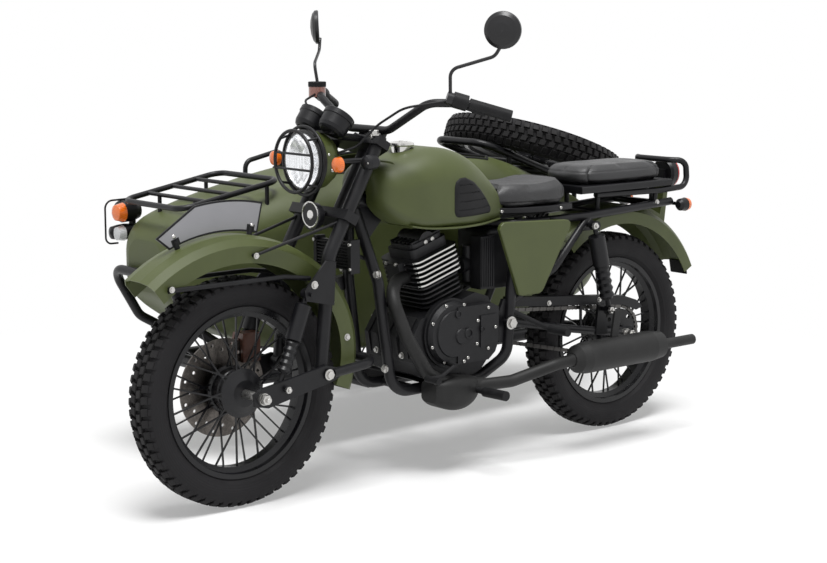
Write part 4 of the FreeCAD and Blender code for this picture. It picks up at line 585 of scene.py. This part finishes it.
def chainLinks():
    low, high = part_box("chain")
    middle = ((Vector(low) + Vector(high)) / 2).x
    count = 2 * round(chainPath(1)[1] / chain["pitch"] / 2)
    points = chainPath(count)[0]
    shape = bmesh.new()
    for step, (here, ahead) in enumerate(zip(points, points[1:] + points[:1])):
        here, ahead = Vector(here), Vector(ahead)
        way = (ahead - here).normalized()
        wide = Vector((-way.y, way.x))
        ring = []
        for end, outwards in ((here, -1), (ahead, 1)):
            for turn in (-90, -45, 0, 45, 90):
                angle = math.radians(turn)
                ring.append(end + way * outwards * math.cos(angle) * chain["plate"] +
                            wide * outwards * math.sin(angle) * chain["plate"])
            ring.append((here + ahead) / 2 + wide * outwards * chain["waist"])
        for side in (-1, 1):
            rings = []
            for x in chain["outer"] if step % 2 else chain["inner"]:
                shift = Vector((middle - machine.x + side * x / 1000, 0, 0))
                rings.append([shape.verts.new(at(0, point.x, point.y) + shift) for point in ring])
            skin(shape, rings)
            shape.faces.new(rings[0])
            shape.faces.new(rings[1])
        foot = Vector((middle, at(0, *here).y, at(0, *here).z))
        place = aimed(foot, (1, 0, 0))
        (half, radius), (reach, thin) = chain["roller"], chain["pin"]
        turned(shape, [(-half, radius), (half, radius)], place, 10)
        turned(shape, [(-reach, 0), (-reach, thin), (reach, thin), (reach, 0)], place, 8)
    return shape


oiledSteel = metalFinish("oiledSteel", (0.13, 0.125, 0.12), 0.34)
chainPiece = newPiece("chainLinks", chainLinks(), [oiledSteel], "chassis")
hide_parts("chain")
print("chain made")


# Seats: padded covers swollen by pressure inside the room of their solids

seats = {
    "riderSeat": {"node": "rider_seat", "part": 0, "voxel": 0.006, "shrink": 0.005, "swell": 0.012,
                  "round": 3.2, "roundFrom": 0.0, "pull": 0.0, "crown": 0.008,
                  "seams": [("z", 0.012, 0.0028)]},
    "pillionSeat": {"node": "pillion_seat", "part": 0, "voxel": 0.006, "shrink": 0.004, "swell": 0.009,
                    "round": 4.0, "roundFrom": -2.0, "pull": 0.022, "crown": 0.012,
                    "seams": [("z", 0.040, 0.0022)]},
    "sidecarCushion": {"node": "sidecar_seat", "part": 0, "voxel": 0.007, "shrink": 0.006, "swell": 0.014,
                       "seams": [("z", 0.090, 0.0030)]},
    "sidecarBackrest": {"node": "sidecar_seat", "part": 1, "voxel": 0.007, "shrink": 0.006, "swell": 0.014,
                        "seams": [("x", 0.137, 0.0030), ("x", 0.273, 0.0030)]},
}
stuffing = {"pressure": 4.0, "quality": 4, "frames": 20, "seam": 0.006, "over": 0.0015}


def welded(name):  # a node's mesh with its doubled points joined
    shape = bmesh.new()
    shape.from_mesh(nodes[name].data)
    bmesh.ops.remove_doubles(shape, verts=shape.verts, dist=0.00005)
    return shape


def looseParts(name):  # the separate solids of a node, lowest first
    shape = welded(name)
    shape.verts.ensure_lookup_table()
    left, groups = set(shape.verts), []
    while left:
        group, edge = set(), [left.pop()]
        while edge:
            vert = edge.pop()
            group.add(vert)
            for other in (link.other_vert(vert) for link in vert.link_edges):
                if other in left:
                    left.discard(other)
                    edge.append(other)
        groups.append(group)
    groups.sort(key=lambda group: (min(vert.co.z for vert in group), min(vert.co.x for vert in group)))
    parts = []
    for group in groups:
        number = {vert: index for index, vert in enumerate(group)}
        faces = [[number[vert] for vert in face.verts] for face in shape.faces if face.verts[0] in group]
        parts.append(([vert.co.copy() for vert in group], faces))
    shape.free()
    return parts


def applied(piece):  # the piece's mesh with its modifiers
    graph = bpy.context.evaluated_depsgraph_get()
    mesh = bpy.data.meshes.new_from_object(piece.evaluated_get(graph))
    piece.modifiers.clear()
    piece.data = mesh
    return mesh


def rounded(mesh, low, high, values):  # softens the corners seen from above and lowers the edges
    middle, half, power = (low + high) / 2, (high - low) / 2, values["round"]
    for vert in mesh.vertices:
        across, along = (vert.co.x - middle.x) / half.x, (vert.co.y - middle.y) / half.y
        reach = max(abs(across), abs(along), 0.001)
        share = 1.0
        if along > values["roundFrom"]:
            share = ((abs(across) / reach) ** power + (abs(along) / reach) ** power) ** (-1 / power)
        rise = (vert.co.z - low.z) / (high.z - low.z)
        vert.co.x = middle.x + across * share * half.x
        vert.co.y = middle.y + along * share * half.y + values["pull"] * (1 - along) / 2
        vert.co.z -= values["crown"] * rise * reach ** 4


def stuffed(name, values, made):
    points, faces = looseParts(values["node"])[values["part"]]
    room = BVHTree.FromPolygons(points, faces)
    low = Vector(min(point[axis] for point in points) for axis in range(3))
    high = Vector(max(point[axis] for point in points) for axis in range(3))
    middle = (low + high) / 2
    mesh = bpy.data.meshes.new(name)
    mesh.from_pydata([tuple(point) for point in points], [], faces)
    for vert in mesh.vertices:
        for axis in range(3):
            offset = vert.co[axis] - middle[axis]
            vert.co[axis] = middle[axis] + offset * (1 - 2 * values["shrink"] / (high[axis] - low[axis]))
    piece = shown(name, mesh)
    remesh = piece.modifiers.new("even", "REMESH")
    remesh.mode, remesh.voxel_size = "VOXEL", values["voxel"]
    mesh = applied(piece)
    if "round" in values:
        rounded(mesh, low, high, values)
    before = [vert.co.copy() for vert in mesh.vertices]
    cloth = piece.modifiers.new("swell", "CLOTH")
    cloth.settings.use_pressure = True
    cloth.settings.uniform_pressure_force = stuffing["pressure"]
    cloth.settings.effector_weights.gravity = 0.0
    cloth.settings.quality = stuffing["quality"]
    for step in range(1, stuffing["frames"] + 1):
        scene.frame_set(step)
    mesh = applied(piece)
    scene.frame_set(1)
    for vert, old in zip(mesh.vertices, before):
        move = vert.co - old
        if move.length > values["swell"]:
            vert.co = old + move * (values["swell"] / move.length)
    finer = piece.modifiers.new("finer", "SUBSURF")
    finer.levels = finer.render_levels = 1
    mesh = applied(piece)
    for vert in mesh.vertices:
        nearest, normal = room.find_nearest(vert.co)[:2]
        outside = (vert.co - nearest).dot(normal)
        allowed = 0.0 if normal.z < -0.7 else stuffing["over"]
        if outside > allowed:
            vert.co -= normal * (outside - allowed)
        for axis, place, depth in values["seams"]:
            index = "xyz".index(axis)
            away = abs(vert.co[index] - low[index] - place)
            if away < stuffing["seam"]:
                inward = vert.normal.copy()
                inward[index] = 0
                vert.co -= inward * depth * (1 - away / stuffing["seam"]) ** 2
    mesh.shade_smooth()
    mesh.materials.clear()
    mesh.materials.append(made.material)
    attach(piece, "chassis")
    return piece


seatCover = leatherFinish("seatCover", colours["leather"])
madeSeats = {name: stuffed(name, values, seatCover) for name, values in seats.items()}
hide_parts("rider_seat")
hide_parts("pillion_seat")
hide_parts("sidecar_seat")
print("seats made")


# Fasteners: washers, hexagon heads, socket screws, domed snaps and ring plugs

fastenerKinds = {
    "hex": [([(-2, 1.45), (0.22, 1.45), (0.26, 1.35), (0.26, 0.9)], 20),
            ([(0.2, 1.12), (0.95, 1.12), (1.08, 0.92), (1.08, 0)], 6)],
    "socket": [([(-2, 1), (0.75, 1), (0.9, 0.9), (0.9, 0.52), (0.3, 0.50), (0.3, 0)], 18)],
    "dome": [([(-2, 1), (0.12, 1), (0.40, 0.80), (0.56, 0.45), (0.60, 0)], 16)],
    "plug": [([(-2, 1), (0.30, 1), (0.40, 0.9), (0.40, 0.68), (0.18, 0.62), (0.18, 0)], 24)],
    "nut": [([(-2, 1.15), (0.8, 1.15), (0.95, 0.98), (0.95, 0.6)], 6),
            ([(0.3, 0.6), (1.5, 0.6), (1.6, 0.5), (1.6, 0)], 14)],
}


def fasteners(name, body, rows, made):
    # Each row: node, two machine millimetres across the view, the side it is seen from, radius, kind
    shape = bmesh.new()
    for node, first, second, side, radius, kind in rows:
        start, way = {
            "left": (at(500, first, second), (-1, 0, 0)), "right": (at(-500, first, second), (1, 0, 0)),
            "outer": (at(-1300, first, second), (1, 0, 0)), "front": (at(first, -900, second), (0, 1, 0)),
            "rear": (at(first, 1300, second), (0, -1, 0)), "above": (at(first, second, 1400), (0, 0, -1)),
        }[side]
        point = seat(node, start, way)[0]
        if point is None:
            print("no surface for", name, node, first, second)
            continue
        for profile, steps in fastenerKinds[kind]:
            line = [(along * radius if along > -2 else -1.0, across * radius) for along, across in profile]
            turned(shape, line, aimed(point, -Vector(way)), steps)
    piece = newPiece(name, shape, [made], body)


def bothSides(rows):
    return [(*row[:3], side, *row[3:]) for side in ("left", "right") for row in rows]


def around(node, y, z, reach, count, side, radius=5, kind="socket", start=20):  # a ring of screws on a cover
    angles = [math.radians(start + 360 * step / count) for step in range(count)]
    return [(node, y + reach * math.cos(a), z + reach * math.sin(a), side, radius, kind) for a in angles]


forkRows = bothSides([
    ("fork_legs", -559, 626, 8, "hex"), ("link_arm", -521, 366, 11, "hex"),
    ("link_arm", -669, 343, 9, "nut"),
    ("front_axle", -750, 328, 13, "nut"), ("headlight", -460, 940, 5, "socket"),
    ("headlight", -472, 985, 4, "dome"), ("front_fender", -404, 451, 7, "hex"),
    ("front_fender", -455, 560, 6, "dome"), ("number_plate", -684, 794, 6, "dome"),
    ("number_plate", -943, 783, 6, "dome"), ("fender_stays", -731.6, 720.7, 6, "hex"),
    ("fender_stays", -1007.5, 654.4, 6, "hex"), ("fork_legs", -429, 806, 5, "socket"),
]) + [("fork_yokes", side * 100, 1029, "front", 6, "socket") for side in (-1, 1)]
forkRows += [("fork_legs", side * 95, -318, "above", 13, "hex") for side in (-1, 1)]
forkRows += around("front_caliper", -640, 420, 24, 2, "right", 7, "hex", 60)
forkRows += [("front_signals", x, 962, "front", 3, "dome") for x in (-164, 164)]

chassisRows = bothSides([
    ("swingarm", 184, 434, 14, "hex"), ("rear_shocks", 542, 707, 10, "nut"),
    ("rear_shocks", 623, 426, 10, "nut"), ("rear_axle", 750, 328, 13, "nut"),
    ("seat_carriers", 420, 772, 5, "socket"), ("seat_carriers", 200, 773, 5, "socket"),
    ("frame", 880, 756, 6, "hex"),
    ("engine_cylinder", -88, 700, 7, "plug"), ("engine_cylinder", -62, 708, 7, "plug"),
]) + [
    ("engine_case", 8, 347, "left", 5, "socket"), ("engine_case", 92, 492, "left", 5, "socket"),
    ("engine_case", 92, 366, "left", 5, "socket"), ("engine_case", 118, 430, "left", 5, "socket"),
    ("chain_guard", 409, 463, "left", 6, "hex"), ("chain_guard", 640, 450, "left", 6, "hex"),
]
chassisRows += around("engine_case", -39, 425, 93, 8, "left")
chassisRows += around("engine_case", -60, 420, 86, 8, "right")
for side in (-1, 1):
    chassisRows += [
        ("frame", side * 80, 625, "front", 10, "hex"), ("frame", side * 80, 340, "front", 9, "hex"),
        ("oil_cooler", side * 84, 650, "front", 5, "socket"),
        ("oil_cooler", side * 84, 722, "front", 5, "socket"),
        ("engine_case", side * 60, 366, "front", 7, "hex"),
        ("engine_cylinder", side * 22, 636, "front", 5, "nut"),
        ("rear_fender", side * 40, 620, "rear", 5, "dome")]
sidecarRows = [("sidecar_body", x, y, "above", 6, "dome") for x in (-804, -376) for y in (40, 180, 320, 460)]
sidecarRows += [("sidecar_axle", 600, 328, "outer", 13, "nut")]
sidecarRows += [("sidecar_fender", y, z, "outer", 7, "dome") for y, z in ((400, 620), (600, 660), (800, 620))]

plugRows = [("engine_case", -30, 484, "left", 12, "plug"), ("engine_case", 11, 421, "left", 17, "plug"),
            ("engine_case", 66, 428, "left", 9, "plug")]

fasteners("forkFasteners", "fork", forkRows, brightSteel)
fasteners("chassisFasteners", "chassis", chassisRows, brightSteel)
fasteners("sidecarFasteners", "chassis", sidecarRows, brightSteel)
fasteners("coverPlugs", "chassis", plugRows, casting)
print("fasteners made")


# Rubber edge round the cockpit

cockpit = {"middle": -590, "ring": [(-154, -64), (154, -64), (200, 26), (200, 576), (154, 616), (-154, 616),
                                    (-200, 576), (-200, 26)], "radius": 0.005, "steps": 10, "floor": 0.6}


def cockpitEdge():
    ring, points = cockpit["ring"], []
    for first, second in zip(ring, ring[1:] + ring[:1]):
        for step in range(cockpit["steps"]):
            share = step / cockpit["steps"]
            x = first[0] + (second[0] - first[0]) * share + cockpit["middle"]
            y = first[1] + (second[1] - first[1]) * share
            point = seat("sidecar_body", at(x, y, 1400), (0, 0, -1))[0]
            if point is not None and point.z > cockpit["floor"]:
                points.append(point)
    shape = bmesh.new()
    swept(shape, points + points[:1], cockpit["radius"], 10)
    return shape


newPiece("cockpitEdge", cockpitEdge(), [gripRubber], "chassis")


# Number plate: blank grey faces inside the black edge of the plate

plateFace = {"border": 0.0055, "lift": 0.0005, "middle": 0.002}


def plateFaces():
    shape = welded("number_plate")
    flat = {face for face in shape.faces if face.normal.x > 0.98 and
            abs(face.calc_center_median().x - machine.x - plateFace["middle"]) < 0.0005}
    rim = [edge for edge in {edge for face in flat for edge in face.edges}
           if sum(face in flat for face in edge.link_faces) == 1]
    loops = []
    while rim:
        edge = rim.pop()
        loop = [edge.verts[0], edge.verts[1]]
        found = True
        while found:
            found = next((other for other in rim if loop[-1] in other.verts), None)
            if found:
                rim.remove(found)
                loop.append(found.other_vert(loop[-1]))
        loops.append([Vector((vert.co.y, vert.co.z)) for vert in loop[:-1]])
    outline = max(loops, key=len)
    shape.free()
    pairs = zip(outline, outline[1:] + outline[:1])
    inward = 1 if sum(first.x * second.y - second.x * first.y for first, second in pairs) > 0 else -1
    inner = []
    for before, here, after in zip(outline[-1:] + outline[:-1], outline, outline[1:] + outline[:1]):
        first, second = (here - before).normalized(), (after - here).normalized()
        sides = [Vector((-way.y, way.x)) * inward for way in (first, second)]
        mitre = (sides[0] + sides[1]) / max(0.3, 1 + sides[0].dot(sides[1]))
        inner.append(here + mitre * plateFace["border"])
    result = bmesh.new()
    for side in (-1, 1):
        x = machine.x + side * (plateFace["middle"] + plateFace["lift"])
        result.faces.new([result.verts.new((x, point.x, point.y)) for point in inner])
    return result


plateGrey = paint("blankPlateGrey", colours["plateGrey"], 0.42, 700.0, dust=0.03)
newPiece("plateFace", plateFaces(), [plateGrey], "fork")
print("plate made")


# Lamps, dials and lenses

# Each: colour, body, place, the way it faces, and its profile as (along, radius)
bulb = [(7, 22.6), (9, 22.6), (20.5, 20.5), (26.5, 12.4), (28.6, 0)]
lamp = {
    "tail": ("red", "chassis", (0, 1027, 836), (0, 1, 0), [(30, 51), (36, 50.6), (45, 41), (49, 0)]),
    "leftSignal": ("orange", "fork", (148, -478, 962), (0, -1, 0), bulb),
    "rightSignal": ("orange", "fork", (-148, -478, 962), (0, -1, 0), bulb),
    "rearLeftSignal": ("orange", "chassis", (132, 990, 742), (0, 1, 0), bulb),
    "rearRightSignal": ("orange", "chassis", (-132, 990, 742), (0, 1, 0), bulb),
    "markerUpper": ("orange", "chassis", (-756, -644, 760), (0, -1, 0),
                    [(-0.5, 30.6), (24.4, 24.6), (34.8, 0)]),
    "markerLower": ("clear", "chassis", (-756, -644, 694), (0, -1, 0),
                    [(-0.5, 24.6), (22.4, 20.6), (30.8, 0)]),
}
lensPaint = {name: lensFinish(name + "Lens", colours[name]) for name in ("red", "orange", "clear")}
for name, (colour, body, place, way, profile) in lamp.items():
    shape = bmesh.new()
    turned(shape, profile, aimed(at(*place), way), 32)
    newPiece(name + "Glass", shape, [lensPaint[colour]], body)

# Chrome rings on the horn
horn = {"at": (36, -505, 813), "rim": [(-1, 38.5), (1.2, 38.5), (2.2, 36), (1.2, 33.5), (-1, 33.5)],
        "boss": [(-1, 14), (1.6, 13), (2.4, 9), (2.6, 0)]}
shape, face = bmesh.new(), aimed(at(*horn["at"]), (0, -1, 0))
turned(shape, horn["rim"], face, 40)
turned(shape, horn["boss"], face, 24)
newPiece("hornRings", shape, [polishedCap], "fork")

# The headlight guard's own form, turned about the lamp so that its bars are level
bars = bmesh.new()
bars.from_mesh(nodes["headlight_guard"].data)
quarter = Matrix.Rotation(math.radians(90), 3, "Y")
bmesh.ops.rotate(bars, cent=shell["centre"], matrix=quarter, verts=bars.verts)
levelGuard = newPiece("levelGuard", bars, [blackPaint], "fork")
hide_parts("headlight_guard")

# Brake fluid cup with its screwed cap, round the solid on the right grip
cup = {"at": (-302.8, -217.4, 1124.9), "wall": [(-0.5, 18), (-0.5, 25), (1, 26.3), (31, 26.3)],
       "cap": [(31, 26), (31, 27.6), (45.3, 27.6), (46.3, 26.4), (46.3, 0)], "ridges": 28, "ridgeFrom": 0.027,
       "ridge": 0.04}
# The cup takes the lamp lens finish, so it carries a faint painted glow, though it is no lamp
cupRed = lensFinish("fluidCup", (0.30, 0.115, 0.085))
fluid, lid, place = bmesh.new(), bmesh.new(), aimed(at(*cup["at"]), (0, 0, 1))
turned(fluid, cup["wall"], place, 40)
turned(lid, cup["cap"], place, 2 * cup["ridges"])
for index, vert in enumerate(lid.verts):
    if index % 2 and (vert.co - place.translation).xy.length > cup["ridgeFrom"]:
        vert.co.x += (place.translation.x - vert.co.x) * cup["ridge"]
        vert.co.y += (place.translation.y - vert.co.y) * cup["ridge"]
newPiece("fluidCup", fluid, [cupRed], "fork")
newPiece("fluidCap", lid, [gripRubber], "fork")

dial = {"across": 56.0, "at": (-448, 1046), "up": (0, 0.62, 0.785), "face": 57.6, "radius": 38.0,
        "ticks": 25, "needles": (225, 200)}


def pointer(shape, place, turn, corners, lift, material):  # a flat stroke: (along, across) at an angle
    along = Vector((math.cos(turn), math.sin(turn), 0))
    wide = Vector((-along.y, along.x, 0))
    points = [along * far + wide * side + Vector((0, 0, lift)) for far, side in corners]
    shape.faces.new(dots(shape, place, points)).material_index = material


def dials():
    shape = bmesh.new()
    face, radius = dial["face"], dial["radius"]
    for side in (-1, 1):
        place = aimed(at(side * dial["across"], *dial["at"]), dial["up"])
        turned(shape, [(face, 0), (face, radius)], place, 32)
        for tick in range(dial["ticks"]):
            turn = math.radians(-45 + 270 * tick / (dial["ticks"] - 1))
            inner, outer = radius - (9 if tick % 4 == 0 else 6), radius - 2
            corners = [(inner, -0.8), (outer, -0.8), (outer, 0.8), (inner, 0.8)]
            pointer(shape, place, turn, corners, face + 0.4, 1)
        turned(shape, [(face + 0.2, 5), (face + 3, 4), (face + 3, 0)], place, 16)
        needle = [(0, -1.4), (29, -0.42), (29, 0.42), (0, 1.4)]
        pointer(shape, place, math.radians(dial["needles"][side > 0]), needle, face + 2, 2)
    return shape


dialBlack = paint("dialBlack", (0.006, 0.006, 0.007), 0.5, 400.0)
dialWhite = paint("dialWhite", (0.60, 0.60, 0.58), 0.5, 400.0)
dialNeedle = paint("dialNeedle", (0.55, 0.09, 0.02), 0.4, 400.0)
newPiece("dials", dials(), [dialBlack, dialWhite, dialNeedle], "fork")
print("lamps and dials made")


# Reflector on a plate below the tip of the rear fender

# Half sizes, places on the tilted foot and bevels of its two tiles
reflector = {"foot": (0, 1120, 524), "tilt": 12.0, "plate": ((37, 2.5, 24), (0, 0, -20), 1.6),
             "face": ((29, 1.6, 15), (0, 3.2, -23), 1.2)}


def tile(half, offset, bevel, place):
    shape = bmesh.new()
    bmesh.ops.create_cube(shape, size=2.0)
    for vert in shape.verts:
        vert.co = Vector(vert.co[axis] * half[axis] + offset[axis] for axis in range(3))
    bmesh.ops.bevel(shape, geom=list(shape.edges), offset=bevel, segments=2, affect="EDGES")
    bmesh.ops.transform(shape, matrix=place, verts=shape.verts)
    return shape


tilted = Matrix.Translation(at(*reflector["foot"])) @ Matrix.Rotation(math.radians(reflector["tilt"]), 4, "X")
tilted = tilted @ Matrix.Scale(0.001, 4)
newPiece("reflectorPlate", tile(*reflector["plate"], tilted), [blackPaint], "chassis")
# The reflector takes the red lamp lens finish, so it carries a faint painted glow, though it is no lamp
newPiece("reflectorFace", tile(*reflector["face"], tilted), [lensPaint["red"]], "chassis")


# Ribbed knee pads glued to the tank

kneePad = {"corners": [(-59, 870), (-54, 886), (-40, 896), (-16, 898), (24, 882), (66, 852), (104, 818),
                       (126, 794), (129, 785), (121, 778), (-42, 779), (-54, 784), (-59, 796)],
           "rings": 34, "steps": 180, "height": 6.0, "edge": 9.0, "groove": 1.8, "pitch": 25.0,
           "sunk": 0.6, "grooveFrom": 0.86, "plain": 1.6}


def kneePads():
    shape = bmesh.new()
    corners = [Vector(corner) for corner in kneePad["corners"]]
    centre = sum(corners, Vector((0, 0))) / len(corners)
    for side in (-1, 1):
        rings = []
        for ring in range(kneePad["rings"] + 1):
            share = ring / kneePad["rings"]
            verts = []
            for step in range(kneePad["steps"]):
                angle = math.tau * step / kneePad["steps"]
                way = Vector((math.cos(angle), math.sin(angle)))
                reach = 1e9
                for first, second in zip(corners, corners[1:] + corners[:1]):
                    edgeWay, toEdge = second - first, first - centre
                    cross = way.x * edgeWay.y - way.y * edgeWay.x
                    if abs(cross) > 1e-9:
                        far = (toEdge.x * edgeWay.y - toEdge.y * edgeWay.x) / cross
                        place = (toEdge.x * way.y - toEdge.y * way.x) / cross
                        if far > 0 and -0.001 <= place <= 1.001:
                            reach = min(reach, far)
                spot = centre + way * reach * share
                edge = reach * (1 - share)
                rise = min(1.0, (edge / kneePad["edge"])) ** 0.5 * kneePad["height"] - kneePad["sunk"]
                wave = abs(((spot.y / kneePad["pitch"]) % 1) - 0.5) * 2
                if wave > kneePad["grooveFrom"] and edge > kneePad["plain"] * kneePad["edge"]:
                    rise -= kneePad["groove"]
                point, normal = seat("fuel_tank", at(side * 400, spot.x, spot.y), (-side, 0, 0))
                verts.append(shape.verts.new(point + normal * rise / 1000))
                if ring == 0:
                    break
            rings.append(verts)
        skin(shape, rings)
    return shape


newPiece("kneePads", kneePads(), [gripRubber], "chassis", 40.0)
print("knee pads made")


# Floor, light and camera

stage = {"floor": 0.82, "near": 0.33, "far": 1.0, "inner": 1.1, "outer": 2.5, "sky": 0.27, "sun": 3.6,
         "sunWidth": 26.0, "sunFrom": (1.6, -1.0, 6.5)}
white = (1, 1, 1)


def floorFinish():  # pale paper: the camera sees it lift to white away from the shadow
    made = Finish("paleFloor")
    tone = made.between(made.noise(1.4, 2.0), 0.3, 0.7)
    made.set(BaseColor=made.blend(tone, (stage["floor"],) * 3, (stage["floor"] + 0.02,) * 3), Roughness=0.9)
    x, y = made.parts(made.place())[:2]
    lift = made.between(distance(x, y), stage["inner"], stage["outer"], stage["near"], stage["far"])
    bright = made.node("ShaderNodeEmission", None, white, 1.0)
    paper = Value(made, made.surface.outputs[0])
    made.show(made.node("ShaderNodeMixShader", None, made.seen() * lift, paper, bright))
    return made


floorShape = bmesh.new()
bmesh.ops.create_grid(floorShape, x_segments=4, y_segments=4, size=60)
floorMesh = bpy.data.meshes.new("floor")
floorShape.to_mesh(floorMesh)
floorShape.free()
floorMesh.materials.append(floorFinish().material)
floor = shown("floor", floorMesh)
floor.location.z = -0.001

studio = Finish("studio", world=True)
scene.world = studio.material
skyLight = studio.node("ShaderNodeBackground", None, white, stage["sky"])
paper = studio.node("ShaderNodeBackground", None, white, 1.0)
studio.show(studio.node("ShaderNodeMixShader", None, studio.seen(), skyLight, paper))

sunData = bpy.data.lights.new("softSun", "SUN")
sunData.energy, sunData.angle = stage["sun"], math.radians(stage["sunWidth"])
sun = shown("softSun", sunData)
sun.rotation_euler = (-Vector(stage["sunFrom"])).to_track_quat("-Z", "Y").to_euler()

view = {"from": (4058.2, -3553.2, 1407.2), "to": (-102.0, 0.0, 552.4), "lens": 77.39}
cameraData = bpy.data.cameras.new("camera")
cameraData.lens, cameraData.sensor_width = view["lens"], 36.0
camera = shown("camera", cameraData)
camera.location = at(*view["from"])
camera.rotation_euler = (at(*view["to"]) - camera.location).to_track_quat("-Z", "Y").to_euler()
scene.camera = camera
scene.view_settings.view_transform = "Standard"
print("stage set")
